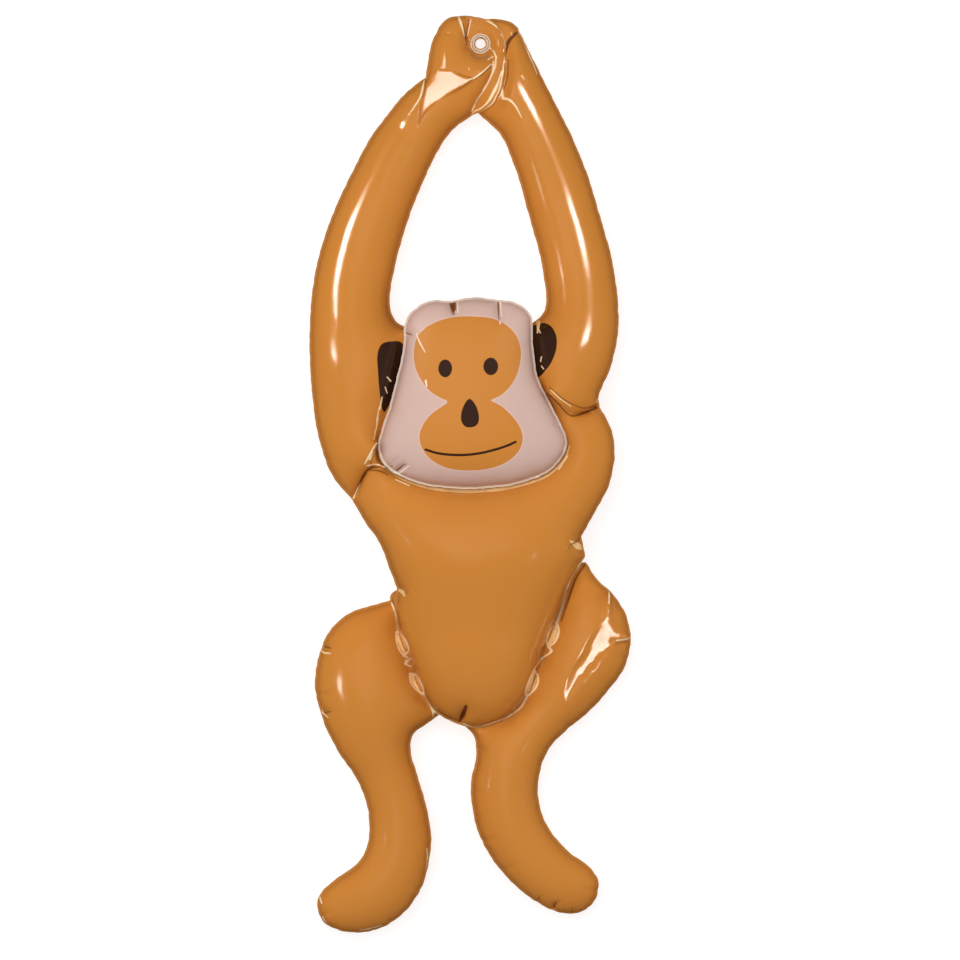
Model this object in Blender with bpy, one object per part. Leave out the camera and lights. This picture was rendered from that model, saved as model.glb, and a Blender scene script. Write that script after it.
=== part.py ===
"""An inflatable monkey of welded film, lying on its back with its arms up and its hands joined at a clear eyelet.

+Y runs from the feet to the hands, +X to the right of someone who looks down on it, Z = 0 is the floor, and
the origin is in the middle of the figure's outline.
Each chamber is two films welded along their outline. Air lifts both films off the seam, and the films lie
flat where the chamber rests on the floor or on another chamber.
"""

import math

import bmesh
import bpy
import numpy as np
from mathutils import Vector
from mathutils.geometry import delaunay_2d_cdt

# The figure's overall size, and the grid that its free form is drawn on: so many squares to its length.
LENGTH = 0.700
DRAWN_LENGTH = 918.0
DRAWN_CENTRE = (470.5, 474.0)

# The film and its welds
WELD_WIDTH = 0.0016
WELD_THICKNESS = 0.0008
CONTACT_GAP = 0.0004

# How far air can lift a film off the seam: wide chambers stay flatter than round ones
FULLEST_LIFT = 0.080

# Heights of the seams above the floor, with the figure on its back
HAND_SEAM = 0.0230
ARM_SEAM = 0.0300
CHEST_SEAM = 0.0460
LEG_SEAM = 0.0240
HIP_PANEL_LIFT = 0.0080

# The head lies on a flattened chest, and is a flatter pillow than air alone would make it
CHEST_REST = 0.0600
HEAD_BACK_DEPTH = 0.0070
HEAD_FULLNESS = 0.74

# How steeply the torso's back rises to the hips that it lies on
HIP_RAMP = 0.8

# The eyelet and the flat weld around it
EYELET_BORE = 0.0075
EYELET_BARREL = 0.0100
EYELET_FLANGE = 0.0156
EYELET_FLANGE_THICKNESS = 0.0010
EYELET_CLEARANCE = 0.0004
EYELET_SIDES = 20
HAND_WELD_DIAMETER = 0.0230
HAND_WELD_THICKNESS = 0.0016

# Fineness of the films' mesh: point spacing along a weld and inside it, and the depths of the rows near it
WELD_SPACING = 0.0120
FILM_SPACING = 0.0145
ROW_DEPTHS = (0.0017, 0.0065)
SAME_PLACE = 1e-6

# Outlines on the drawing grid, x to the right and y down. Lines that follow each other meet in a corner.
FRONT_HAND = [(480, 16.5), (463, 15), (447, 18), (436, 31), (430, 49), (426, 77)]
LEFT_ARM = [(426, 77), (401, 97), (371, 136), (350, 176), (332, 216), (319, 256), (312, 296), (310, 346),
            (313, 396), (319, 436), (332, 474), (353, 500)]
LEFT_FLANK = [(353, 500), (365, 521), (379, 541), (388, 563), (397, 588)]
TORSO_SEAM = [(397, 588), (395, 606), (398, 632), (408, 659), (418, 686), (433, 709), (453, 722), (475, 728),
              (497, 723), (515, 711), (531, 690), (544, 652), (556, 622), (569, 584), (585, 556)]
RIGHT_FLANK_LOW = [(585, 556), (581, 536)]
RIGHT_FLANK = [(581, 536), (595, 511), (608, 486), (614, 458), (611, 430), (599, 407)]
RIGHT_ARM = [(599, 407), (599, 394), (610, 368), (617, 338), (618, 306), (612, 260), (600, 216), (588, 176),
             (572, 136), (552, 96), (534, 60), (521, 33)]
BACK_HAND = [(521, 33), (516, 25), (508, 20), (496, 18), (480, 16.5)]
ARM_LOOP = [(473, 115), (452, 130), (434, 156), (417, 196), (403, 236), (393, 276), (390, 304), (397, 322),
            (420, 330), (472, 334), (520, 328), (541, 316), (546, 297), (540, 256), (529, 216), (518, 176),
            (503, 138), (489, 122), (473, 115)]
HEAD = [(405, 322), (417, 307), (434, 300), (451, 301), (474, 297), (498, 300), (517, 303), (531, 316),
        (533, 341), (537, 374), (548, 399), (561, 424), (567, 442), (562, 458), (545, 474), (517, 484),
        (490, 488), (463, 489), (430, 486), (404, 478), (385, 466), (378, 450), (382, 428), (390, 404),
        (397, 376), (403, 350), (405, 322)]
LEGS_BACK = [(389, 601), (397, 590), (440, 583), (490, 577), (540, 569), (586, 562)]
RIGHT_THIGH = [(586, 562), (597, 579), (611, 592), (625, 612), (631, 634)]
RIGHT_SHIN = [(631, 634), (630, 650), (624, 669), (609, 690), (589, 712), (566, 731), (550, 748), (541, 768),
              (538, 792), (542, 814), (553, 835), (570, 853), (590, 868), (599, 884), (593, 904), (576, 914),
              (553, 911), (530, 898), (508, 879), (490, 856), (478, 832), (472, 806), (471, 782), (476, 757),
              (474, 737), (460, 722)]
CROTCH = [(460, 722), (445, 713), (430, 722)]
LEFT_SHIN = [(430, 722), (413, 735), (411, 754), (418, 778), (426, 806), (431, 834), (429, 862), (421, 889),
             (405, 912), (380, 929), (350, 933), (326, 925), (317, 908), (321, 893), (339, 877), (358, 863),
             (368, 842), (368, 812), (358, 782), (340, 755), (326, 729), (321, 714)]
LEFT_THIGH = [(321, 714), (315, 692), (316, 668), (321, 648), (331, 629), (348, 614), (370, 606), (389, 601)]

# Folds pressed into the film where the arms bend over the torso, from the outline inwards
LEFT_SHOULDER_FOLD = [(353, 500), (361, 486), (371, 470), (386, 467)]
RIGHT_SHOULDER_FOLD = [(599, 407), (584, 413), (570, 416), (557, 404), (546, 393)]
FOLD_DEPTH_OUTSIDE = 0.20
FOLD_DEPTH_INSIDE = 0.60

# The eyelet's centre, and where along the figure the seam changes its height, as rows of the drawing grid
EYELET_CENTRE = (480.5, 43.0)
HAND_ROW, ARM_ROW, CHEST_ROW, WAIST_ROW, HIP_ROW = 110.0, 230.0, 400.0, 540.0, 640.0


def grid_to_metres(points):
    """Turns places on the drawing grid into metres from the figure's middle."""
    return (np.asarray(points, float) - DRAWN_CENTRE) * (LENGTH / DRAWN_LENGTH, -LENGTH / DRAWN_LENGTH)


def smooth_line(points, spacing):
    """A Catmull-Rom curve through the points, resampled at about the spacing, with both end points kept."""
    closed = np.allclose(points[0], points[-1])
    before = points[-2] if closed else 2 * points[0] - points[1]
    after = points[1] if closed else 2 * points[-1] - points[-2]
    held = np.vstack((before, points, after))
    fine = []
    for a, b, c, d in zip(held, held[1:], held[2:], held[3:]):
        for t in np.linspace(0, 1, 24, endpoint=False):
            fine.append(0.5 * (2 * b + (c - a) * t + (2 * a - 5 * b + 4 * c - d) * t**2
                               + (3 * b - a - 3 * c + d) * t**3))
    fine = np.vstack((fine, points[-1]))
    run = np.concatenate(([0], np.cumsum(np.linalg.norm(np.diff(fine, axis=0), axis=1))))
    steps = max(2, round(run[-1] / spacing))
    places = np.linspace(0, run[-1], steps + 1)
    return np.column_stack([np.interp(places, run, fine[:, axis]) for axis in (0, 1)])


def outline(lines, spacing, hole=False):
    """One closed loop through drawn lines, with the film on its left: outer loops run anticlockwise."""
    loop = np.vstack([smooth_line(grid_to_metres(line), spacing)[:-1] for line in lines])
    x, y = loop.T
    anticlockwise = np.sum(x * np.roll(y, -1) - np.roll(x, -1) * y) > 0
    return loop if anticlockwise != hole else loop[::-1]


def inward_normals(loop):
    """Unit directions from the loop into the film."""
    along = np.roll(loop, -1, axis=0) - np.roll(loop, 1, axis=0)
    inward = np.column_stack((-along[:, 1], along[:, 0]))
    return inward / np.linalg.norm(inward, axis=1)[:, None]


def inside(points, loop):
    """Which of the points lie inside the loop."""
    result = np.zeros(len(points), bool)
    x, y = points.T
    for (ax, ay), (bx, by) in zip(loop, np.roll(loop, -1, axis=0)):
        crosses = (ay > y) != (by > y)
        if ay != by:
            result ^= crosses & (x < (bx - ax) * (y - ay) / (by - ay) + ax)
    return result


def distance_to(points, line, closed=True):
    """Distance of each point to a line of short straight pieces."""
    ends = np.roll(line, -1, axis=0) if closed else line[1:]
    starts = line if closed else line[:-1]
    nearest = np.full(len(points), np.inf)
    for a, b in zip(starts, ends):
        piece = b - a
        share = np.clip((points - a) @ piece / (piece @ piece), 0, 1)
        nearest = np.minimum(nearest, np.linalg.norm(points - a - share[:, None] * piece, axis=1))
    return nearest


def flat_film(loops, extra_lines):
    """Triangulates a film cut along the loops: weld, rows near the weld, an even grid inside, and extra lines.

    Returns the points, the triangles and the points that are on a weld.
    """
    points, edges = [], []
    for loop in loops:
        for depth in (0, WELD_WIDTH):
            first = len(points)
            points.extend(loop + depth * inward_normals(loop))
            count = len(loop)
            edges.extend((first + i, first + (i + 1) % count) for i in range(count))
    weld_count = len(points)
    for line in extra_lines:
        first = len(points)
        points.extend(line)
        edges.extend((first + i, first + i + 1) for i in range(len(line) - 1))
    lines_end = len(points)
    for loop in loops:
        for depth in ROW_DEPTHS:
            row = loop + (WELD_WIDTH + depth) * inward_normals(loop)
            clear = np.ones(len(row), bool)
            for other in loops:
                clear &= distance_to(row, other) > 0.93 * (WELD_WIDTH + depth)
            points.extend(row[clear])
    low, high = np.min(loops[0], axis=0), np.max(loops[0], axis=0)
    row_height = FILM_SPACING * math.sqrt(0.75)
    grid = [(x + (row % 2) * FILM_SPACING / 2, low[1] + row * row_height)
            for row in range(int((high[1] - low[1]) / row_height) + 1)
            for x in np.arange(low[0], high[0], FILM_SPACING)]
    grid = np.array(grid)
    clear = inside(grid, loops[0])
    for number, loop in enumerate(loops):
        clear &= distance_to(grid, loop) > WELD_WIDTH + ROW_DEPTHS[-1] + 0.4 * FILM_SPACING
        if number:
            clear &= ~inside(grid, loop)
    points.extend(grid[clear])
    points = np.array(points)
    if extra_lines:
        clear = np.ones(len(points), bool)
        for line in extra_lines:
            clear &= distance_to(points, line, closed=False) > 0.35 * FILM_SPACING
        clear[:lines_end] = True
        points = points[clear]
    found = delaunay_2d_cdt([Vector(point) for point in points], edges, [], 0, 1e-7)
    spots = np.array([tuple(spot) for spot in found[0]])
    triangles = np.array([face for face in found[2] if len(face) == 3])
    middles = spots[triangles].mean(axis=1)
    kept = inside(middles, loops[0])
    for loop in loops[1:]:
        kept &= ~inside(middles, loop)
    triangles = triangles[kept]
    on_weld = np.array([any(source < weld_count for source in sources) for sources in found[3]])
    used = np.unique(triangles)
    renumbered = np.full(len(spots), -1)
    renumbered[used] = np.arange(len(used))
    return spots[used], renumbered[triangles], on_weld[used]


def air_lift(spots, triangles, fixed, fixed_lift):
    """How far air lifts the film off its seam: a membrane under pressure, held at the fixed points.

    The square root of the membrane's height gives a tube its round section.
    """
    corners = spots[triangles]
    load = np.zeros(len(spots))
    first, second, weight = [], [], []
    doubled_area = np.abs(np.cross(corners[:, 1] - corners[:, 0], corners[:, 2] - corners[:, 0]))
    for a in range(3):
        b, c = (a + 1) % 3, (a + 2) % 3
        to_b, to_c = corners[:, b] - corners[:, a], corners[:, c] - corners[:, a]
        cotangent = np.sum(to_b * to_c, axis=1) / doubled_area
        first.append(triangles[:, b])
        second.append(triangles[:, c])
        weight.append(cotangent / 2)
        load += np.bincount(triangles[:, a], doubled_area / 6, len(spots))
    first, second, weight = map(np.concatenate, (first, second, weight))

    def stiffness(values):
        pull = weight * (values[first] - values[second])
        return np.bincount(first, pull, len(spots)) - np.bincount(second, pull, len(spots))

    height = np.where(fixed, fixed_lift**2 / 2, 0.0)
    free = ~fixed
    rest = np.where(free, load - stiffness(height), 0.0)
    step = rest.copy()
    size = rest @ rest
    smallest = size * 1e-16
    for _ in range(4 * len(spots)):
        if size <= smallest:
            break
        pushed = np.where(free, stiffness(step), 0.0)
        reach = size / (step @ pushed)
        height = height + reach * step
        rest = rest - reach * pushed
        new_size = rest @ rest
        step = rest + new_size / size * step
        size = new_size
    return np.sqrt(2 * np.maximum(height, 0))


def held_back(lift):
    """Film can't stretch, so a wide chamber's films rise less than a round section would."""
    return lift / np.sqrt(1 + (lift / FULLEST_LIFT) ** 2)


def before_held_back(lift):
    """The round section's lift that held_back turns into this one."""
    return lift / np.sqrt(1 - (lift / FULLEST_LIFT) ** 2)


def seam_height(along, stations):
    """Height of the seam above the floor at places along the figure, easing between (row, height) stations."""
    rows = grid_to_metres([(0, row) for row, _ in stations])[:, 1]
    heights = [height for _, height in stations]
    order = np.argsort(rows)
    rows, heights = rows[order], np.array(heights)[order]
    place = np.clip(np.searchsorted(rows, along) - 1, 0, len(rows) - 2)
    share = np.clip((along - rows[place]) / (rows[place + 1] - rows[place]), 0, 1)
    share = share * share * (3 - 2 * share)
    return heights[place] + share * (heights[place + 1] - heights[place])


def two_films(name, spots, triangles, top, bottom, material):
    """A closed chamber: the flat film is extruded once, then its two sides are moved to their heights."""
    shape = bmesh.new()
    spot_number = shape.verts.layers.int.new("spot_number")
    corners = []
    for number, (x, y) in enumerate(spots):
        corner = shape.verts.new((x, y, bottom[number]))
        corner[spot_number] = number
        corners.append(corner)
    for triangle in triangles:
        shape.faces.new([corners[corner] for corner in triangle])
    lower_faces = shape.faces[:]
    made = bmesh.ops.extrude_face_region(shape, geom=lower_faces, use_keep_orig=True)
    for upper in made["geom"]:
        if isinstance(upper, bmesh.types.BMVert):
            upper.co.z = top[upper[spot_number]]
    bmesh.ops.recalc_face_normals(shape, faces=shape.faces[:])
    return finished(name, shape, material)


def finished(name, shape, material):
    """Turns a bmesh into a named object with its material, shaded smooth."""
    mesh = bpy.data.meshes.new(name)
    shape.to_mesh(mesh)
    shape.free()
    mesh.materials.append(material)
    mesh.shade_smooth()
    piece = bpy.data.objects.new(name, mesh)
    bpy.context.collection.objects.link(piece)
    return piece


def surface(name, colour, roughness, transmission=0.0):
    """A plain Principled material."""
    material = bpy.data.materials.new(name)
    material.use_nodes = True
    shader = material.node_tree.nodes["Principled BSDF"]
    shader.inputs["Base Color"].default_value = (*colour, 1)
    shader.inputs["Roughness"].default_value = roughness
    shader.inputs["Metallic"].default_value = 0.0
    shader.inputs["Transmission Weight"].default_value = transmission
    return material


def stretches_on_film(line, loops, margin):
    """The stretches of a line that lie on the film, clear of its outlines."""
    clear = inside(line, loops[0])
    for number, loop in enumerate(loops):
        clear &= distance_to(line, loop) > margin
        if number:
            clear &= ~inside(line, loop)
    stretches, current = [], []
    for place, is_clear in zip(line, clear):
        if is_clear:
            current.append(place)
        elif current:
            stretches.append(current)
            current = []
    stretches.append(current)
    return [np.array(stretch) for stretch in stretches if len(stretch) > 1]


def make_body(torso_outline, head_outline, legs_outline, material):
    """The torso, arms and welded hands: one chamber around the arm loop and the eyelet's bore."""
    centre = grid_to_metres([EYELET_CENTRE])[0]
    turn = -np.arange(EYELET_SIDES) * 2 * math.pi / EYELET_SIDES
    around = np.column_stack((np.cos(turn), np.sin(turn)))
    bore_radius = EYELET_BARREL / 2 + EYELET_CLEARANCE
    bore = centre + bore_radius * around
    weld_edge = centre + HAND_WELD_DIAMETER / 2 * np.vstack((around, around[:1]))
    folds = [smooth_line(grid_to_metres(fold), WELD_SPACING)
             for fold in (LEFT_SHOULDER_FOLD, RIGHT_SHOULDER_FOLD)]
    inner_folds = [fold[1:] for fold in folds]
    loops = [torso_outline, outline([ARM_LOOP], WELD_SPACING, hole=True), bore]
    head_line = np.vstack((head_outline, head_outline[:1]))
    head_lines = stretches_on_film(head_line, loops, WELD_WIDTH + ROW_DEPTHS[0])
    spots, triangles, on_weld = flat_film(loops, [weld_edge, *inner_folds, *head_lines])

    hand_weld = np.linalg.norm(spots - centre, axis=1) < HAND_WELD_DIAMETER / 2 + SAME_PLACE
    held = on_weld | hand_weld
    lift = air_lift(spots, triangles, held, np.zeros(len(spots)))
    held_lift = np.zeros(len(spots))
    for fold in inner_folds:
        for share, place in zip(np.linspace(FOLD_DEPTH_OUTSIDE, FOLD_DEPTH_INSIDE, len(fold)), fold):
            vert = np.argmin(np.linalg.norm(spots - place, axis=1))
            held[vert] = True
            held_lift[vert] = share * lift[vert]
    back_lift = held_back(air_lift(spots, triangles, held, held_lift))

    seam = seam_height(spots[:, 1], [(HAND_ROW, HAND_SEAM), (ARM_ROW, ARM_SEAM), (CHEST_ROW, CHEST_SEAM),
                                     (WAIST_ROW, CHEST_SEAM), (HIP_ROW, torso_edge_height())])
    under_head = inside(spots, head_outline) | (distance_to(spots, head_outline) < SAME_PLACE)
    pressed = under_head & (seam + back_lift > CHEST_REST)
    held_lift = np.where(pressed, before_held_back(CHEST_REST - seam), held_lift)
    front_lift = held_back(air_lift(spots, triangles, held | pressed, held_lift))

    weld_half = np.where(hand_weld, HAND_WELD_THICKNESS / 2, WELD_THICKNESS / 2)
    top = seam + np.maximum(front_lift, weld_half)
    top = np.where(under_head, np.minimum(top, CHEST_REST), top)
    bottom = np.maximum(seam - np.maximum(back_lift, weld_half), 0.0)
    from_hips = np.where(inside(spots, legs_outline), 0.0, distance_to(spots, legs_outline))
    hips_top = LEG_SEAM + HIP_PANEL_LIFT + CONTACT_GAP
    bottom = np.maximum(bottom, hips_top - HIP_RAMP * np.maximum(from_hips - FILM_SPACING, 0.0))
    return two_films("body", spots, triangles, top, bottom, material)


def torso_edge_height():
    """The torso's lower seam lies on the flat top of the hips."""
    return LEG_SEAM + HIP_PANEL_LIFT + CONTACT_GAP + WELD_THICKNESS / 2


def make_legs(torso_outline, legs_outline, material):
    """Both legs: one chamber whose hips are drawn flat behind the torso."""
    loops = [legs_outline]
    seam_line = smooth_line(grid_to_metres(TORSO_SEAM), WELD_SPACING)
    seam_lines = stretches_on_film(seam_line, loops, WELD_WIDTH + ROW_DEPTHS[0])
    spots, triangles, on_weld = flat_film(loops, seam_lines)
    behind_torso = inside(spots, torso_outline) | (distance_to(spots, torso_outline) < SAME_PLACE)
    held_lift = np.where(on_weld, 0.0, before_held_back(HIP_PANEL_LIFT))
    lift = held_back(air_lift(spots, triangles, on_weld | behind_torso, held_lift))
    half = np.maximum(lift, WELD_THICKNESS / 2)
    top = LEG_SEAM + half
    bottom = np.maximum(LEG_SEAM - half, 0.0)
    return two_films("legs", spots, triangles, top, bottom, material)


def make_head(head_outline, material):
    """The head: a pillow with a full front and a back drawn flat on the chest."""
    spots, triangles, on_weld = flat_film([head_outline], [])
    lift = HEAD_FULLNESS * held_back(air_lift(spots, triangles, on_weld, np.zeros(len(spots))))
    seam = CHEST_REST + CONTACT_GAP + HEAD_BACK_DEPTH
    half = np.maximum(lift, WELD_THICKNESS / 2)
    bottom = seam - np.minimum(half, HEAD_BACK_DEPTH)
    return two_films("head", spots, triangles, seam + half, bottom, material)


def make_hand_eyelet(material):
    """The clear eyelet: a barrel through both hands with a round flange on each side, turned in one piece."""
    centre = grid_to_metres([EYELET_CENTRE])[0]
    inner, barrel, flange = EYELET_BORE / 2, EYELET_BARREL / 2, EYELET_FLANGE / 2
    grip = HAND_WELD_THICKNESS / 2 + CONTACT_GAP
    face = grip + EYELET_FLANGE_THICKNESS
    softened = EYELET_FLANGE_THICKNESS / 2
    half_profile = [(barrel, grip), (flange, grip), (flange, face - softened), (flange - softened, face),
                    (inner + softened, face), (inner, face - softened)]
    profile = half_profile + [(radius, -height) for radius, height in reversed(half_profile)]
    shape = bmesh.new()
    verts = [shape.verts.new((centre[0] + radius, centre[1], HAND_SEAM + height)) for radius, height in profile]
    edges = [shape.edges.new((a, b)) for a, b in zip(verts, verts[1:] + verts[:1])]
    bmesh.ops.spin(shape, geom=verts + edges, cent=(*centre, HAND_SEAM), axis=(0, 0, 1), angle=2 * math.pi,
                   steps=EYELET_SIDES, use_merge=True, use_duplicate=False)
    bmesh.ops.remove_doubles(shape, verts=shape.verts[:], dist=1e-6)
    bmesh.ops.recalc_face_normals(shape, faces=shape.faces[:])
    piece = finished("hand_eyelet", shape, material)
    piece.data.set_sharp_from_angle(angle=math.radians(40))
    return piece


def main():
    """Builds the four pieces."""
    for old in list(bpy.data.objects):
        bpy.data.objects.remove(old)
    orange_film = surface("orange_film", (0.56, 0.22, 0.045), 0.18)
    pink_film = surface("pink_film", (0.60, 0.42, 0.37), 0.30)
    clear_plastic = surface("clear_plastic", (0.9, 0.9, 0.88), 0.08, transmission=0.9)
    body_outline = outline([FRONT_HAND, LEFT_ARM, LEFT_FLANK, TORSO_SEAM, RIGHT_FLANK_LOW, RIGHT_FLANK,
                            RIGHT_ARM, BACK_HAND], WELD_SPACING)
    head_outline = outline([HEAD], WELD_SPACING)
    legs_outline = outline([LEGS_BACK, RIGHT_THIGH, RIGHT_SHIN, CROTCH, LEFT_SHIN, LEFT_THIGH], WELD_SPACING)
    make_body(body_outline, head_outline, legs_outline, orange_film)
    make_legs(body_outline, legs_outline, orange_film)
    make_head(head_outline, pink_film)
    make_hand_eyelet(clear_plastic)


main()
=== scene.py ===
"""The looks of the inflatable monkey: glossy film, puckered seams, a printed face and a clear eyelet.

Each chamber is cut from flat film along its outline, welded, and blown up: air lifts the film off its seam,
and folds, puckers and contacts hold it down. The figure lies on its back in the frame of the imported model.
"""

import math

import bmesh
import bpy
import numpy as np
from mathutils import Matrix, Vector
from mathutils.bvhtree import BVHTree
from mathutils.geometry import delaunay_2d_cdt
from mathutils.kdtree import KDTree


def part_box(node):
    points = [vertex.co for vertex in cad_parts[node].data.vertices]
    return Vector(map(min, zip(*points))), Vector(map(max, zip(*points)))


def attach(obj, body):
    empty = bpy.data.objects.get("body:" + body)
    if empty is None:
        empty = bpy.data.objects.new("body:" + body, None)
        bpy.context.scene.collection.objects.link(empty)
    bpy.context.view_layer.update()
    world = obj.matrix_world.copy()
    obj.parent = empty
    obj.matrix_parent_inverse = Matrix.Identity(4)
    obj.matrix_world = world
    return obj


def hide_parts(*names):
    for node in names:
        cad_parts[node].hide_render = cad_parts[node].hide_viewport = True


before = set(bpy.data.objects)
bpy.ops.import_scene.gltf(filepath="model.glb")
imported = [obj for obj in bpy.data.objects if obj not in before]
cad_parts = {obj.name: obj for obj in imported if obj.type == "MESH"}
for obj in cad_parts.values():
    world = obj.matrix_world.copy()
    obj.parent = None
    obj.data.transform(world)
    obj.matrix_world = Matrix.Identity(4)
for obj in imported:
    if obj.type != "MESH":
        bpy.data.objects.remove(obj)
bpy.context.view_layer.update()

bl_info = {
    "name": "Inflatable Monkey",
    "version": (1, 0, 0),
    "blender": (4, 5, 0),
    "location": "View3D > Sidebar > Inflatable",
    "description": "Film chambers, print, eyelet and studio of an inflatable monkey",
    "category": "Object",
}

# The figure's length in metres, its length and middle on the grid that its outlines are drawn on, and a
# square of that grid in metres
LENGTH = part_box("body")[1][1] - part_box("legs")[0][1]
DRAWN_LENGTH = 918.0
DRAWN_CENTRE = (470.5, 474.0)
SQUARE = LENGTH / DRAWN_LENGTH

# Heights of the floor, of the head's back and of its front, and of the chambers' seams
FLOOR = 0.0
CHEST_REST, FACE_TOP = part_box("head")[0][2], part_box("head")[1][2]
EYELET_LOW, EYELET_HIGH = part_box("hand_eyelet")
HAND_SEAM = (EYELET_LOW[2] + EYELET_HIGH[2]) / 2
ARM_SEAM = 0.0300
CHEST_SEAM = 0.0460
LEG_SEAM = 0.0240

# Depths of the flat panel behind the torso and of the head's flat back, and how full the head is
HIP_PANEL_LIFT = 0.0080
HEAD_BACK_DEPTH = 0.0070
HEAD_FULLNESS = 0.74

# Underside of the body above the hips: its slope, from this far beyond the legs' outline
HIP_SLOPE = 0.8
HIP_SLOPE_START = 0.006

# The eyelet, and the film round it, which is flat first and then eases up to the hand
EYELET_FLANGE_WIDTH = 0.0037
EYELET_BORE = 0.00375
EYELET_STEPS = 64
BEAD_HEIGHT = 0.0010
EYELET_FLAT = 0.0092
EYELET_EASE_START = 0.0088
EYELET_EASE_WIDTH = 0.012
EYELET_CALM = 0.0095

# The back hand under the front one: how much of its lift it loses, and how far beyond the front hand
HAND_PRESS = 0.45
HAND_PRESS_REACH = 0.010

# The welds of both hands part over this stretch of the figure's length
HANDS_PART_START = 0.25
HANDS_PART_WIDTH = 0.03

# How often the front hand's resting heights are smoothed, before and after it is lifted off the other hand
REST_SMOOTHING = 120
RAISED_SMOOTHING = 40

CONTACT_GAP = 0.0004

# How far air can lift a wide film off its seam
FULLEST_LIFT = 0.080

# Rows of points beside each weld, by their depth inside it
ROW_DEPTHS = (0.0003, 0.0009, 0.0018, 0.0030, 0.0045, 0.0064)

# Points this close are one point. Then the shares of a spacing that stay free along welds and drawn lines,
# and the share of a row's depth below which a sharp corner has crowded it.
SAME_PLACE = 1e-6
WELD_CLEARANCE, LINE_CLEARANCE = 0.45, 0.5
CROWDED = 0.93

# The value of a mark away from what it marks, and a mark's range of depths inside a weld
FAR = 1.0
WELD_MARK_LOW, WELD_MARK_HIGH = -0.002, 0.02

# Spacings of the lines round facets, ears, face and nose
FACET_SPACING, EAR_SPACING, FACE_SPACING, NOSE_SPACING = 0.0008, 0.002, 0.0015, 0.001

# How far a stroke's edge is measured, and the spacing of the lines that strokes and creases follow
STROKE_REACH = 0.004
STROKE_SPACING = 0.0004

# How many of its widths a crease reaches, how far its ends are eased in, and the share of it that this takes
CREASE_REACH = 5
CREASE_END, CREASE_GROWTH = 0.15, 0.08

# Puckers: ranges of their width, their length, the steps between them and their strength. A slant is a shift
# along the weld for each metre into the film, and the back's puckers are turned from the front's by a twist.
PUCKER_WIDTHS = (0.0006, 0.0014)
PUCKER_LENGTHS, SHORTEST_PUCKER = (0.004, 0.015), 0.003
PUCKER_STEPS = (0.4, 1.7)
PUCKER_STRENGTHS = (0.3, 1.0)
STEEPEST_SLANT, BACK_TWIST = 0.5, 0.4

# How a pucker falls off across and along it, within how many of its widths, and the least lift that is left
ACROSS_POWER, INWARD_POWER = 1.4, 1.5
PUCKER_REACH = 6
LEAST_LIFT = 0.1

# A weld's bend, in radians for each metre: over how many pieces it is averaged, its highest value and the one
# that gives full strength, how many puckers it adds, and how strong puckers are where there is none
BEND_PIECES = 15
SHARPEST_BEND, FULL_BEND = 60, 15
BEND_PUCKERS = 1.5
STRAIGHT_STRENGTH = 0.65

# Waves of a weld's free edge: their lengths, the depth at which they fade, and their heights up and outwards
WAVE_LENGTHS = (0.0071, 0.0113, 0.0187, 0.0310)
WAVE_FADE = 0.0022
WAVE_UP, WAVE_OUT = 0.00030, 0.00022

# Most steps of the solver for the air's lift, and the share of the first error at which it stops
SOLVER_STEPS = 3000
SOLVER_ERROR = 1e-12

# Outlines on the drawing grid, x to the right and y down. Lines that follow each other meet in a corner.
LEFT_ARM = [(386, 116), (371, 136), (350, 176), (332, 216), (319, 256), (312, 296), (310, 346),
            (313, 396), (319, 436), (332, 474), (353, 500)]
LEFT_FLANK = [(353, 500), (365, 521), (379, 541), (388, 563), (397, 588)]
TORSO_SEAM = [(397, 588), (395, 606), (398, 632), (408, 659), (418, 686), (433, 709), (453, 722), (475, 728),
              (497, 723), (515, 711), (531, 690), (544, 652), (556, 622), (569, 584), (585, 556)]
RIGHT_FLANK_LOW = [(585, 556), (581, 536)]
RIGHT_FLANK = [(581, 536), (595, 511), (608, 486), (614, 458), (611, 430), (599, 407)]
RIGHT_ARM = [(599, 407), (599, 394), (610, 368), (617, 338), (618, 306), (612, 260), (600, 216), (588, 176),
             (572, 136), (552, 96), (534, 60), (521, 33)]
BACK_HAND = [(521, 33), (516, 25), (508, 20), (496, 18), (482, 20), (470, 28), (464, 45), (463, 66),
             (467, 90), (476, 110), (489, 122)]
ARM_LOOP = [(489, 122), (503, 138), (518, 176), (529, 216), (540, 256), (546, 297), (541, 316),
            (520, 328), (472, 334), (420, 330), (397, 322), (390, 304), (393, 276), (403, 236), (417, 196),
            (436, 153)]
WRIST = [(436, 153), (452, 130), (472, 115)]
FRONT_HAND_RIM = [(472, 115), (487, 110), (495, 103), (501, 92), (504, 78), (506, 58), (504, 37), (495, 22),
                  (480, 17), (463, 15), (447, 18), (437, 30), (430, 49), (425.5, 77)]
WRIST_OUTER = [(425.5, 77), (413, 86), (401, 97), (386, 116)]
HEAD = [(405, 322), (417, 307), (434, 300), (451, 301), (474, 297), (498, 300), (517, 303), (531, 316),
        (533, 341), (537, 374), (548, 399), (561, 424), (567, 442), (562, 458), (545, 474), (517, 484),
        (490, 488), (463, 489), (430, 486), (404, 478), (385, 466), (378, 450), (382, 428), (390, 404),
        (397, 376), (403, 350), (405, 322)]
LEGS_BACK = [(389, 601), (397, 590), (440, 583), (490, 577), (540, 569), (586, 562)]
RIGHT_THIGH = [(586, 562), (597, 579), (611, 592), (625, 612), (631, 634)]
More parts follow.
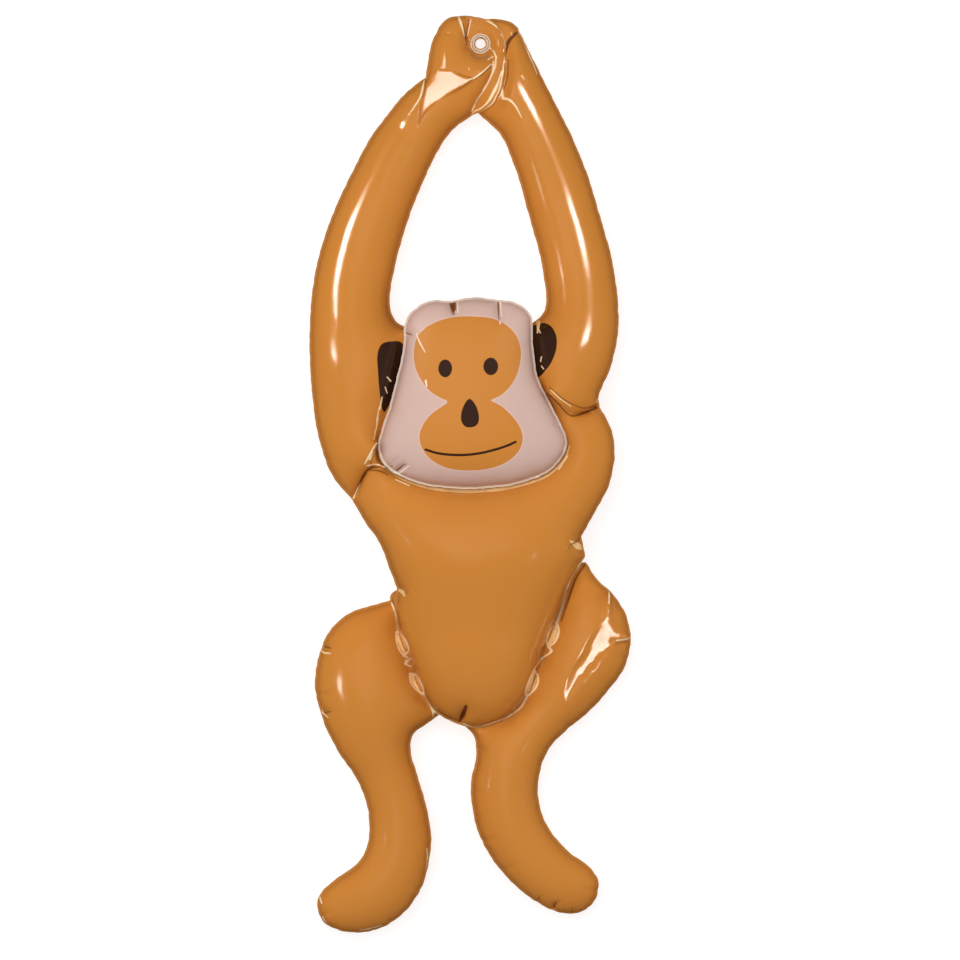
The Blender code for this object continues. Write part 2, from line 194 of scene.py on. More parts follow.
RIGHT_SHIN = [(631, 634), (630, 650), (624, 669), (609, 690), (589, 712), (566, 731), (550, 748), (541, 768),
              (538, 792), (542, 814), (553, 835), (570, 853), (590, 868), (599, 884), (593, 904), (576, 914),
              (553, 911), (530, 898), (508, 879), (490, 856), (478, 832), (472, 806), (471, 782), (476, 757),
              (474, 737), (460, 722)]
CROTCH = [(460, 722), (445, 713), (430, 722)]
LEFT_SHIN = [(430, 722), (413, 735), (411, 754), (418, 778), (426, 806), (431, 834), (429, 862), (421, 889),
             (405, 912), (380, 929), (350, 933), (326, 925), (317, 908), (321, 893), (339, 877), (358, 863),
             (368, 842), (368, 812), (358, 782), (340, 755), (326, 729), (321, 714)]
LEFT_THIGH = [(321, 714), (315, 692), (316, 668), (321, 648), (331, 629), (348, 614), (370, 606), (389, 601)]
TORSO_LINES = [LEFT_ARM, LEFT_FLANK, TORSO_SEAM, RIGHT_FLANK_LOW, RIGHT_FLANK, RIGHT_ARM, BACK_HAND]
LEG_LINES = [LEGS_BACK, RIGHT_THIGH, RIGHT_SHIN, CROTCH, LEFT_SHIN, LEFT_THIGH]

# Folds: lines from the outline inwards, with the share of the film's lift that is left at each end
LEFT_SHOULDER_FOLD = ([(353, 500), (358, 489), (365, 475), (372, 468), (387, 467)], 0.05, 0.55)
LEFT_SHOULDER_TUCK = ([(372, 468), (373, 455), (380, 440)], 0.50, 0.75)
RIGHT_SHOULDER_FOLD = ([(599, 407), (584, 413), (570, 416), (557, 404), (546, 393)], 0.05, 0.60)
LEFT_WAIST_FOLD = ([(397, 588), (404, 591), (410, 592)], 0.10, 0.90)
RIGHT_WAIST_FOLD = ([(581, 536), (575, 544), (566, 548)], 0.10, 0.85)
BELLY_FOLD = ([(459, 723), (463, 714), (467, 706)], 0.10, 0.80)
WRIST_FOLD = ([(425.5, 77), (431, 83), (437, 87)], 0.30, 0.95)
BODY_FOLDS = (LEFT_SHOULDER_FOLD, LEFT_SHOULDER_TUCK, RIGHT_SHOULDER_FOLD, LEFT_WAIST_FOLD, RIGHT_WAIST_FOLD,
              BELLY_FOLD)
HEAD_FOLDS = (([(451, 301), (452, 308), (454, 316)], 0.10, 0.85),
              ([(498, 300), (498.5, 311), (499, 322)], 0.10, 0.85),
              ([(394, 473), (400, 468), (406, 464)], 0.10, 0.85), ([(405, 333), (412, 335)], 0.10, 0.80),
              ([(561, 425), (553, 424)], 0.30, 0.92), ([(537, 478), (535, 471)], 0.30, 0.93))
LEG_FOLDS = (([(321, 646), (331, 648)], 0.10, 0.90), ([(321, 714), (331, 711)], 0.10, 0.90),
             ([(631, 640), (619, 641), (610, 640)], 0.10, 0.93), ([(553, 911), (556, 901)], 0.10, 0.92),
             ([(411, 745), (419, 744)], 0.20, 0.90), ([(477, 748), (487, 749)], 0.20, 0.92))

# Creases: drawn line, width, and height in metres at its two ends, below zero in a valley
BODY_CREASES = (
    ([(354, 498), (360, 487), (366, 474), (373, 468)], 0.0010, -0.0045, -0.0030),
    ([(373, 468), (380, 466), (388, 468)], 0.0010, -0.0030, -0.0022),
    ([(370, 467), (373, 455), (378, 444)], 0.0011, -0.0020, -0.0008),
    ([(376, 464), (377, 455), (381, 449)], 0.0008, 0.0010, 0.0004),
    ([(598, 408), (584, 413), (571, 415)], 0.0011, -0.0040, -0.0030),
    ([(571, 415), (558, 404), (545, 391)], 0.0011, -0.0030, -0.0022),
    ([(568, 409), (556, 396), (546, 383)], 0.0009, -0.0014, -0.0006),
    ([(519, 29), (513, 36), (507, 45), (505, 56)], 0.0012, -0.0030, -0.0015),
    ([(521, 62), (524, 74), (530, 86)], 0.0012, 0.0009, 0.0004),
    ([(500, 88), (508, 98), (521, 121)], 0.0014, 0.0012, 0.0006),
    ([(398, 588), (405, 591)], 0.0012, -0.0025, -0.0012),
    ([(580, 537), (575, 544), (568, 547)], 0.0012, -0.0030, -0.0012),
    ([(458, 724), (463, 714), (467, 704)], 0.0014, -0.0040, -0.0012),
)
FRONT_HAND_CREASES = (
    ([(458.4, 16), (462, 26.7), (464.3, 36)], 0.0006, 0.0008, 0.0004),
    ([(468.7, 20), (466.7, 34.7), (466.7, 44)], 0.0008, -0.0012, -0.0005),
    ([(491.3, 64.7), (482.7, 73.3), (474.7, 79.3), (468.7, 82)], 0.0006, 0.0008, 0.0008),
    ([(496, 57.3), (495.3, 66.7), (492, 74.7), (485.3, 88), (477.3, 100), (472, 110.7)],
     0.0005, 0.0004, 0.0004),
    ([(424, 80), (422.7, 90), (418.7, 101), (409, 116)], 0.0009, 0.0008, 0.0004),
)
HEAD_CREASES = (
    ([(451, 300), (452, 308), (454, 316)], 0.0010, -0.0045, -0.0012),
    ([(456, 302), (457, 310)], 0.0008, 0.0008, 0.0003),
    ([(498, 299), (498.5, 310), (499, 322)], 0.0007, -0.0025, -0.0005),
    ([(501, 302), (501.5, 315)], 0.0005, 0.0007, 0.0003),
    ([(393, 474), (400, 468), (407, 464)], 0.0009, -0.0035, -0.0008),
    ([(403, 333), (412, 336)], 0.0009, -0.0025, -0.0006),
    ([(415, 341), (420, 346), (424, 353)], 0.0005, 0.0005, 0.0002),
)
LEG_CREASES = (
    ([(321, 646), (331, 648)], 0.0010, -0.0020, -0.0006),
    ([(321, 714), (332, 710)], 0.0010, -0.0020, -0.0006),
    ([(631, 640), (619, 641), (609, 640)], 0.0010, -0.0026, -0.0006),
    ([(553, 912), (556, 900)], 0.0010, -0.0024, -0.0006),
)

# Strokes: drawn line and its half widths on the grid, evenly from start to end. Light strokes are painted
# highlights, glints along the sharpest creases; dark strokes are painted shade in folds and between parts;
# clear strokes are where the seam left a leaf uncoloured. The seam's painted highlight strokes are all wider
# by one factor.
SEAM_GLINT_WIDENING = 1.35
SEAM_GLINTS_NARROW = (
    ([(389.5, 599), (395, 612), (398.5, 631)], 0.35, 0.45, 0.4),
    ([(396, 632), (397, 643), (401, 652), (405, 655)], 0.4, 0.3, 0.5),
    ([(398, 632), (404, 637), (408, 645), (408.5, 650), (405, 655)], 0.3, 0.6, 0.4),
    ([(404, 656), (411, 659), (405, 663), (412, 667)], 0.5, 0.3, 0.5, 0.3),
    ([(409.5, 673), (411, 682), (417, 690), (424, 695)], 0.4, 0.3, 0.5),
    ([(411, 673), (418, 677), (423, 687), (424, 695)], 0.4, 0.5, 0.4),
    ([(424, 695), (429, 703), (435, 712), (445, 719), (456, 723)], 0.5, 0.4, 0.6, 0.35),
    ([(429, 703), (432, 710), (433.5, 718)], 0.4, 0.3),
    ([(585.5, 557), (572, 576), (564.5, 599), (557.5, 621)], 0.5, 0.4, 0.6),
    ([(557, 622), (558.5, 631), (555, 641), (548, 647)], 0.5, 0.7, 0.4),
    ([(556, 622), (549, 632), (546.5, 641), (548, 647)], 0.3, 0.5, 0.5),
    ([(548, 647), (551.5, 651), (541, 659), (534.5, 668)], 0.6, 0.4, 0.4),
    ([(534, 669), (538, 677), (536, 687), (527, 697)], 0.5, 0.6, 0.4),
    ([(533.5, 669), (528, 682), (525.5, 691), (527, 697)], 0.3, 0.5, 0.4),
    ([(532, 676), (531, 684), (528, 692)], 0.2, 0.4, 0.2),
    ([(526.5, 698), (520, 708), (508, 716.5), (492, 723), (476, 727), (463, 723.5)],
     0.5, 0.35, 0.6, 0.5, 0.4),
)
SEAM_GLINT_STROKES = tuple((line, *(SEAM_GLINT_WIDENING * half for half in halves))
                   for line, *halves in SEAM_GLINTS_NARROW)
# Painted shade along the seam's folds and in the crotch
SEAM_SHADE_STROKES = (
    ([(392, 599), (398, 612), (401, 629)], 0.4, 0.5, 0.4),
    ([(412, 670), (416, 672)], 0.5, 0.3),
    ([(426, 694), (434, 706), (444, 714), (456, 719)], 0.4, 0.5, 0.5, 0.5),
    ([(587, 562), (576, 578), (568, 600), (561, 621)], 0.7, 1.0, 0.6),
    ([(543, 656), (537, 664)], 0.5, 0.4),
    ([(522, 702), (512, 711), (498, 719), (480, 724)], 0.4, 0.5, 0.5, 0.4),
    ([(466, 705), (462.5, 715), (459, 722)], 1.6, 2.4, 1.2),
)
SEAM_CLEAR = (
    ([(396.5, 632), (402, 643), (405, 654)], 0.3, 3.4, 3.6, 0.6),
    ([(410, 673), (416, 682), (423, 694)], 0.4, 3.4, 2.8, 0.4),
    ([(556.5, 622), (552.5, 634), (548, 646)], 0.3, 3.2, 3.8, 0.6),
    ([(534, 669), (532, 682), (527, 696)], 0.4, 3.8, 3.0, 0.5),
)
# Painted highlights: glints on the body's folds, rims, ears and back hand
BODY_GLINT_STROKES = (
    ([(354, 498), (357, 491), (361, 484)], 0.6, 0.3),
    ([(366, 464), (371, 455), (377.5, 444), (381, 436)], 0.35, 0.7, 0.4, 0.3),
    ([(371, 460), (374, 452)], 0.7, 0.4),
    ([(368, 466), (377, 464.5), (388, 468.5), (396, 474)], 0.3, 0.5, 0.3),
    ([(396, 479.5), (410, 485.5)], 0.3, 0.4),
    ([(558, 469.5), (567, 456)], 0.5, 0.4),
    ([(383, 398), (380.5, 410)], 0.4, 0.6),
    ([(379, 418), (377, 430)], 0.4, 0.3),
    ([(388, 378), (391.5, 382)], 0.4, 0.6),
    ([(386, 388), (388, 394)], 0.4, 0.3),
    ([(533, 318), (537, 322)], 0.4, 0.5),
    ([(537, 328), (540, 334)], 0.5, 0.3),
    ([(541, 358), (540, 362)], 0.4, 0.4),
    ([(541, 367), (543, 370)], 0.4, 0.3),
    ([(598.5, 398), (596, 402.5)], 0.5, 0.3),
    ([(600, 412), (607, 413)], 0.5, 0.2),
    ([(550, 391), (560, 400), (570, 407)], 0.25, 0.35, 0.25),
    ([(519, 29), (521, 35), (526, 46), (530, 56), (534, 66), (537, 74)], 0.8, 0.6, 0.9, 0.5, 0.3),
    ([(501.5, 87), (502.5, 97)], 0.8, 1.3),
    ([(503, 99), (508.5, 101), (515, 107), (521.5, 119)], 1.3, 0.7, 0.5, 0.2),
    ([(521.5, 77), (524, 80.5)], 0.5, 0.2),
)
BODY_CLEAR = (
    ([(396, 590), (402, 590.5), (405, 595)], 0.6, 2.2, 0.8),
    ([(569, 540), (577, 545.5), (584, 549)], 0.6, 3.4, 1.4),
    ([(387, 469.5), (405, 480), (431, 488), (463, 491), (490, 490), (517, 486), (546, 476), (563, 460),
      (569, 446)], 0.4, 1.1, 1.5, 1.7, 1.6, 1.4, 1.2, 0.5),
    ([(533, 314), (538, 322), (537, 334)], 0.6, 2.0, 0.6),
    ([(380, 408), (377.5, 424), (375, 440)], 0.5, 1.0, 0.5),
)
# Painted shade in the shoulder folds, between the hands and at the waist
BODY_SHADE_STROKES = (
    ([(353, 500), (358, 489), (365, 475), (372, 468), (387, 467)], 0.7, 0.9, 1.2, 0.9, 0.6),
    ([(370, 470), (380, 471), (389, 475)], 0.6, 0.7, 0.4),
    ([(372, 468), (373, 455), (380, 440)], 0.5, 0.4, 0.2),
    ([(599, 407), (584, 413), (570, 416), (557, 404), (546, 393)], 0.9, 1.1, 0.7, 0.8, 0.9),
    ([(597, 404.5), (582, 408.5), (563, 400), (549, 388)], 0.5, 0.4, 0.3),
    ([(519.5, 29.5), (513, 36), (508, 42.5), (506, 52)], 0.9, 1.6, 1.8, 0.7),
    ([(503, 20), (494, 19.5), (487, 19)], 0.5, 0.8, 0.4),
    ([(508, 60), (507.5, 76), (504, 90)], 0.5, 0.6, 0.3),
    ([(523, 39), (528, 52)], 0.4, 0.3),
    ([(398, 590), (396, 597)], 0.5, 0.4),
    ([(581, 537), (576, 541), (570, 544)], 0.9, 0.4),
    ([(425, 79), (419, 84)], 0.5, 0.3),
)
# Painted highlights on the front hand
HAND_GLINT_STROKES = (
    ([(458.4, 16), (462, 26.7), (464.3, 36)], 0.9, 1.0, 0.3),
    ([(471, 18), (469, 28), (467.3, 35)], 0.25, 0.3, 0.2),
    ([(485.5, 19.2), (493.3, 24), (500, 29.5), (503.5, 36), (505.2, 45), (504.7, 56), (503, 70)],
     0.35, 0.6, 0.4, 0.4, 0.45, 0.4, 0.5),
    ([(502.7, 71), (501, 82.7), (498, 93.3), (493.7, 101.3), (487, 108.3), (479, 112), (472.5, 113)],
     0.5, 0.5, 0.4, 0.4, 0.4, 0.5),
    ([(501.5, 72), (498, 83), (493.5, 93), (488, 102), (482, 107.5), (474.7, 111)],
     0.4, 0.6, 1.5, 1.2, 0.4, 0.3),
    ([(496, 57.3), (495.3, 66.7), (492, 74.7), (485.3, 88), (477.3, 100), (472, 110.7)],
     0.5, 0.55, 0.45, 0.5),
    ([(493.3, 61.3), (492.7, 70.7), (489, 80.7), (482.7, 90.7)], 0.35, 0.4, 0.25),
    ([(491.3, 64.7), (482.7, 73.3), (474.7, 79.3), (468.7, 82), (461, 87)], 0.4, 0.6, 0.7, 0.5),
    ([(424.2, 80), (423, 87), (421.3, 94.7), (418.7, 101.3), (411, 113)], 0.5, 0.8, 0.6, 0.6, 0.3),
    ([(490.2, 47.4), (491.2, 48.6)], 0.6, 0.6),
    ([(493.6, 50.8), (494.4, 52)], 0.5, 0.5),
    ([(488, 60.2), (492.7, 56.7)], 0.6, 0.4),
    ([(494.5, 54), (496.5, 57)], 0.5, 0.5),
)
# Painted shade in the front hand's folds
HAND_SHADE_STROKES = (
    ([(468.7, 19), (466.7, 34.7), (466.7, 45)], 0.4, 0.5, 0.35),
    ([(463.2, 24), (465, 35), (466, 40)], 0.4, 0.6, 0.3),
    ([(491, 67), (483, 75), (475, 81)], 0.3, 0.35, 0.25),
    ([(503.5, 74), (501.8, 86), (498.5, 96)], 0.3, 0.35, 0.3),
    ([(426, 79), (425, 90), (423.5, 98)], 0.3, 0.4, 0.2),
)
# Painted highlights on the head's pinches and face, and its flange painted as a bright line
HEAD_GLINT_STROKES = (
    ([(457.4, 301.5), (458.2, 313)], 0.35, 0.2),
    ([(500.3, 302), (501.3, 317)], 0.6, 0.2),
    ([(394, 476), (401, 472), (409, 466)], 0.4, 0.5, 0.2),
    ([(416.5, 334), (419.5, 342), (425.5, 353)], 0.2, 0.45, 0.15),
    ([(426, 381), (427, 387)], 0.8, 0.4),
    ([(499.3, 321), (500.2, 325)], 0.5, 0.3),
    ([(379.3, 446), (380.3, 453.2), (387.4, 465.7), (404.2, 477.3), (430, 485.3), (463, 488.3), (490, 487.3),
      (516.7, 483.3), (544.3, 473.4), (560.6, 458.3), (565.2, 446)], 0.7, 1.0, 1.2, 1.3, 1.3, 1.3, 0.9, 0.4),
)
# Painted shade in the head's pinches
HEAD_SHADE_STROKES = (
    ([(451.5, 301), (452.5, 308), (454, 315)], 2.6, 2.0, 0.5),
    ([(455, 302), (455.5, 310)], 1.2, 0.6),
    ([(498, 300), (498.5, 311), (499, 322)], 0.9, 0.6, 0.2),
    ([(394, 473), (400, 468), (406, 464)], 1.0, 0.8, 0.3),
    ([(405, 333), (412, 335)], 0.8, 0.3),
    ([(387, 467), (393, 466)], 0.6, 0.3),
)
# Painted highlights on the legs' pinches and rims
LEG_GLINT_STROKES = (
    ([(319.5, 650), (324, 652.5), (331, 653)], 0.4, 0.6, 0.2),
    ([(319, 705), (323, 713), (328, 717)], 0.3, 0.6, 0.3),
    ([(630, 637.5), (624, 639.5), (616, 640)], 0.7, 0.9, 0.5),
    ([(319.5, 897), (321.5, 903)], 0.6, 0.7),
    ([(322, 917), (327, 924)], 0.4, 0.3),
    ([(359, 930.5), (371, 928.5), (382, 925.5)], 0.3, 0.4, 0.3),
    ([(427, 848), (427.5, 860), (425.5, 871)], 0.3, 0.5, 0.3),
    ([(609, 592), (608.5, 603)], 0.6, 0.5),
)
# Painted shade in the legs' pinches
LEG_SHADE_STROKES = (
    ([(321, 646), (331, 648)], 0.8, 0.4),
    ([(321, 714), (331, 711)], 0.6, 0.3),
    ([(631, 640.5), (627.5, 641.5)], 0.9, 0.4),
    ([(553, 911), (556, 901)], 0.7, 0.3),
    ([(571, 914), (572, 907)], 0.4, 0.2),
    ([(537, 901), (540, 895)], 0.4, 0.2),
)

# Flat facets that catch the light: outline, tilt, heading of the tilt, and width of the soft border
WRIST_FACET = ([(426, 83), (431, 73), (441, 69.5), (453, 71.5), (463, 76), (474, 80.5), (462, 90), (448, 98),
                (437, 105), (427, 114), (418, 130), (420, 108), (422.5, 94), (426, 83)],
               math.radians(25), math.radians(150), 0.0020)
KNEE_FACET = ([(609.5, 588), (612, 616), (618, 629), (630, 637.5), (611, 646), (597, 661), (583, 677),
               (573, 691), (566, 703), (562, 692), (572, 671), (584, 651), (592, 635), (601, 621),
               (605.5, 604), (609.5, 588)],
              math.radians(16), math.radians(-24), 0.0008)

# Places where creases need a finer film, as boxes on the grid
BODY_FINE = ((340, 436, 398, 508), (540, 376, 604, 428), (500, 10, 545, 130), (388, 578, 416, 604),
             (558, 528, 594, 562), (446, 696, 478, 732))
HEAD_FINE = ((440, 296, 464, 322), (488, 296, 508, 328), (384, 456, 414, 482), (396, 326, 428, 358))
LEG_FINE = ((314, 638, 340, 656), (314, 702, 340, 722), (602, 632, 634, 650), (544, 892, 566, 916))
HAND_FINE = ((380, 8, 512, 160),)

# Flat welds of the front hand, and the eyelet's centre
HAND_TAB = [(466, 10), (485, 10), (512, 20), (512, 90), (500, 112), (474, 120), (470, 113), (482, 92),
            (491, 72), (493, 60), (486, 57), (474, 56), (467, 47), (466, 30)]
EYELET_CENTRE = (480.5, 43.0)

# The camera's height above the arms' seams, the middle and width of its frame on the grid, the width of its
# sensor in millimetres, and how far it sees
CAMERA_HEIGHT = 4.0
FRAME_CENTRE = (480, 480)
FRAME_SQUARES = 960
SENSOR_WIDTH = 36
FARTHEST_SEEN = 50

# Colours of painted highlights along sharp creases, of painted shade deep in folds, of film where it is
# clear, and of a weld's free edge
GLINT_COLOUR = (1.0, 0.78, 0.48)
PAINTED_SHADE_COLOUR = (0.17, 0.045, 0.008)
CLEAR_COLOUR = (0.95, 0.62, 0.27)
ORANGE_RIM = (0.57, 0.23, 0.050)
PINK_RIM = (0.78, 0.60, 0.50)
PINK_GLINT = (1.0, 0.86, 0.68)

# Roughness of glossy and of satin film, how uneven its bump is, and its index of refraction
GLOSSY, SATIN = 0.10, 0.42
UNEVENNESS = 0.5
FILM_IOR = 1.45

# Where colours change at welds (doubled film, and painted shade a few millimetres into the film), at folds
# (painted shade), at free edges and at creases (painted highlights): a distance, and half of its soft border
WELD_SHADE = (0.0020, 0.0030)
PAINTED_SHADE_EDGE = (0.0, 0.00050)
RIM_SHADE = (-0.0002, 0.0003)
GLINT_EDGE = (0.00010, 0.00032)

# The eyelet's plastic: its colour and the painted highlight colour of its bead rings, its clearness, and how
# much of it the rings lose
EYELET_COLOUR, RING_HIGHLIGHT_COLOUR = (0.86, 0.62, 0.36), (1.0, 0.93, 0.80)
EYELET_CLEARNESS, RING_HIGHLIGHT_SHARE = 0.97, 0.95
EYELET_ROUGHNESS, EYELET_IOR = 0.08, 1.33

# Strength of the studio's sky up to SKY_START, a sine of elevation, and overhead, with its colour low down
SKY_START, SKY_LOW, SKY_TOP = 0.05, 0.16, 0.20
SKY_LOW_COLOUR = (0.60, 0.30, 0.12)

# The pale floor: half its width, its grey, and what it adds by itself so that it stays pale
FLOOR_REACH = 6.0
FLOOR_GREY = 0.32
FLOOR_GLOW = 0.78

# Places and sizes of the soft lights overhead and at both sides
KEY_PLACE, KEY_SIZE = (-0.25, 0.35, 2.2), (1.6, 1.6)
FILL_PLACE, FILL_SIZE = (1.7, 0.1, 0.8), (1.2, 1.2)

# Strip lights for the highlights: name, both ends, target, width, radiance, and spread in degrees
STRIPS = (
    ("left_arm_low", (-0.340, 0.150, 0.235), (-0.314, 0.27, 0.235), (-0.100, 0.165, 0.05), 0.140, 52, 23),
    ("left_arm_high", (-0.318, 0.26, 0.235), (-0.244, 0.40, 0.235), (-0.072, 0.225, 0.05), 0.090, 80, 23),
    ("right_arm", (0.270, 0.205, 0.34), (0.195, 0.430, 0.34), (0.072, 0.225, 0.05), 0.150, 72, 20),
    ("hand", (-0.2384, 0.4070, 0.243), (-0.1916, 0.4480, 0.243), (-0.0156, 0.2928, 0.05), 0.062, 28, 18),
    ("right_knee", (0.262, -0.134, 0.32), (0.208, -0.254, 0.32), (0.0987, -0.1266, 0.05), 0.095, 56, 16),
    ("left_knee", (-0.337, -0.080, 0.235), (-0.337, -0.250, 0.235), (-0.101, -0.157, 0.05), 0.060, 26, 19),
)

# Rows of the drawing grid where the seam changes its height
HAND_ROW, ARM_ROW, CHEST_ROW, WAIST_ROW, HIP_ROW = 110.0, 230.0, 400.0, 540.0, 640.0

# Print on the head, which is the face patch in three lines and the features on it, and the ears on the arms
FACE_UPPER = [(427, 326), (440, 320), (455, 316.5), (472, 316), (492, 318), (507, 325), (517, 336),
              (521.5, 352), (519, 370), (512, 385), (501, 396), (491, 400.5)]
FACE_LOWER = [(491, 400.5), (503, 407), (515, 419), (521.5, 430), (523, 441), (518, 453), (506, 463),
              (490, 469), (470, 471), (449, 469), (432, 461), (422, 449), (419, 437), (422, 426), (430, 415),
              (440, 407.5), (448.5, 402)]
FACE_CHEEK = [(448.5, 402), (438, 397.5), (428, 390), (420, 379), (414.5, 366), (413.5, 351), (417, 336),
              (427, 326)]
EYES = (((445.2, 368.3), (6.8, 8.9)), ((490.8, 366.3), (7.3, 8.7)))
NOSE = [(469.3, 398.5), (475, 404), (478.5, 413), (478.7, 421.5), (474.5, 426.5), (466, 427), (461.5, 421.5),
        (461.3, 413), (464.5, 404), (469.3, 398.5)]
MOUTH = [(425, 449.3), (436, 452.8), (449, 454.6), (464, 454.9), (480, 453.2), (496, 449.3), (508, 445.3),
         (516, 441.6)]
MOUTH_WIDTH = 2.4
PATCH_BORDER = 0.0004
EAR_HEIGHT = CHEST_SEAM + 0.02
LEFT_EAR = [(403, 344), (390, 341.5), (381, 345), (377.5, 356), (378, 370), (379.5, 390), (381.5, 405),
            (383.5, 413), (389, 405), (397, 388), (408, 370), (403, 344)]
RIGHT_EAR = [(530, 330), (538, 324), (545, 322.5), (552, 327), (556.5, 337), (556, 350), (551, 363),
             (545, 371), (538.5, 377), (530, 372), (530, 330)]


def number_setting(name, description, default, **kind):
    """A number that the panel shows."""
    return bpy.props.FloatProperty(name=name, description=description, default=default, **kind)


def colour_setting(name, description, default):
    """A colour that the panel shows."""
    return bpy.props.FloatVectorProperty(name=name, description=description, default=default,
                                         subtype="COLOR")


class InflatableFilm(bpy.types.PropertyGroup):
    """Sizes of the film and its welds."""

    weld_width: number_setting("Weld width", "Width of the flat welded margin", 0.0016, unit="LENGTH")
    weld_thickness: number_setting("Weld thickness", "Both films together in a weld", 0.0007, unit="LENGTH")
    weld_spacing: number_setting("Weld spacing", "Distance of points along a weld", 0.0012, unit="LENGTH")
    spacing: number_setting("Film spacing", "Distance of points of smooth film", 0.0024, unit="LENGTH")
    fine_spacing: number_setting("Fine spacing", "Distance of points at creases", 0.0009, unit="LENGTH")
    pucker_spacing: number_setting("Pucker spacing", "Mean step on a straight weld", 0.0240, unit="LENGTH")
    pucker_depth: number_setting("Pucker depth", "Share of lift that a pucker takes away", 0.30,
                                 subtype="FACTOR")


class InflatableColours(bpy.types.PropertyGroup):
    """Colours of the films and of the print."""

    orange: colour_setting("Orange film", "Body, arms and legs", (0.61, 0.228, 0.036))
    # Darker orange for the doubled film at welds, which also paints shade a few millimetres into the film
    # beyond them
    orange_weld_shade: colour_setting("Orange at welds", "Orange film where it is doubled", (0.54, 0.19, 0.030))
    pink: colour_setting("Pink film", "Head", (0.655, 0.45, 0.385))
    brown: colour_setting("Brown print", "Ears, eyes, nose and mouth", (0.032, 0.0105, 0.004))


class InflatableStudio(bpy.types.PropertyGroup):
    """The camera and the light."""

    camera_height: number_setting("Camera height", "Height above the arms' seams", CAMERA_HEIGHT,
                                  unit="LENGTH")
    frame_width: number_setting("Frame width", "What the frame takes in at the arms' seams",
                                FRAME_SQUARES * SQUARE, unit="LENGTH")
    key_power: number_setting("Key power", "Watts of the soft light overhead", 41.0)
    fill_power: number_setting("Fill power", "Watts of the soft light from each side", 6.5)
    strip_power: number_setting("Strip power", "Share of the strip lights' full light", 1.0)


def grid_to_metres(points):
    """Turns places on the drawing grid into metres from the figure's middle."""
    return (np.asarray(points, float) - DRAWN_CENTRE) * (SQUARE, -SQUARE)


def seen_at(points, height):
    """Where a drawn place lies on a surface at this height, for the camera above the middle of the frame."""
    centre = np.array(FRAME_CENTRE)
    return centre + (np.asarray(points, float) - centre) * (1 - (height - ARM_SEAM) / CAMERA_HEIGHT)


def box_loop(box):
    """A box on the drawing grid as a loop in metres."""
    left, top, right, bottom = box
    return grid_to_metres([(left, top), (left, bottom), (right, bottom), (right, top)])


def smooth_line(points, spacing):
    """A Catmull-Rom curve through drawn points, in metres, resampled at about the spacing."""
    points = grid_to_metres(points)
    closed = np.allclose(points[0], points[-1])
    before = points[-2] if closed else 2 * points[0] - points[1]
    after = points[1] if closed else 2 * points[-1] - points[-2]
    held = np.vstack((before, points, after))
    fine = []
    for a, b, c, d in zip(held, held[1:], held[2:], held[3:]):
        for t in np.linspace(0, 1, 24, endpoint=False):
            fine.append(0.5 * (2 * b + (c - a) * t + (2 * a - 5 * b + 4 * c - d) * t**2
                               + (3 * b - a - 3 * c + d) * t**3))
    fine = np.vstack((fine, points[-1]))
    run = np.concatenate(([0], np.cumsum(np.linalg.norm(np.diff(fine, axis=0), axis=1))))
    steps = max(2, round(run[-1] / spacing))
    places = np.linspace(0, run[-1], steps + 1)
    return np.column_stack([np.interp(places, run, fine[:, axis]) for axis in (0, 1)])


def joined(lines, spacing):
    """One closed loop through drawn lines, without repeating the corners."""
    return np.vstack([smooth_line(line, spacing)[:-1] for line in lines])


def inward_normals(loop):
    """Unit directions from a closed loop into the film on its left."""
    along = np.roll(loop, -1, axis=0) - np.roll(loop, 1, axis=0)
    inward = np.column_stack((-along[:, 1], along[:, 0]))
    return inward / np.linalg.norm(inward, axis=1)[:, None]


def inside(points, loop):
    """Which of the points lie inside the loop."""
    result = np.zeros(len(points), bool)
    x, y = points.T
    for (ax, ay), (bx, by) in zip(loop, np.roll(loop, -1, axis=0)):
        if ay != by:
            crosses = (ay > y) != (by > y)
            result ^= crosses & (x < (bx - ax) * (y - ay) / (by - ay) + ax)
    return result


class Line:
    """A line of short straight pieces that finds the nearest place on it."""

    def __init__(self, points, closed=False):
        self.points = np.vstack((points, points[:1])) if closed else np.asarray(points)
        self.run = np.concatenate(([0], np.cumsum(np.linalg.norm(np.diff(self.points, axis=0), axis=1))))
        self.closed = closed
        self.tree = KDTree(len(self.points))
        for number, (x, y) in enumerate(self.points):
            self.tree.insert((x, y, 0), number)
        self.tree.balance()

    def nearest(self, spots):
        """Distance of each spot to the line, and how far along the line its nearest place is."""
        closest = np.array([self.tree.find((x, y, 0))[1] for x, y in spots], int)
        last = len(self.points) - 1
        best, along = np.full(len(spots), np.inf), np.zeros(len(spots))
        for start in (closest - 1, closest):
            start = start % last if self.closed else np.clip(start, 0, last - 1)
            first, piece = self.points[start], self.points[start + 1] - self.points[start]
            share = np.sum((spots - first) * piece, axis=1)
            share = np.clip(share / np.maximum(np.sum(piece * piece, axis=1), 1e-18), 0, 1)
            away = np.linalg.norm(spots - first - share[:, None] * piece, axis=1)
            here = self.run[start] + share * (self.run[start + 1] - self.run[start])
            along = np.where(away < best, here, along)
            best = np.minimum(best, away)
        return best, along


def distance_to(points, line, closed=True):
    """Distance of each point to a line of short straight pieces."""
    return Line(line, closed).nearest(np.asarray(points))[0]


def signed_distance(points, loop):
    """Distance to the loop, below zero inside it."""
    return np.where(inside(points, loop), -1, 1) * distance_to(points, loop)


def ease(share):
    """A soft step from 0 to 1."""
    share = np.clip(share, 0, 1)
    return share * share * (3 - 2 * share)


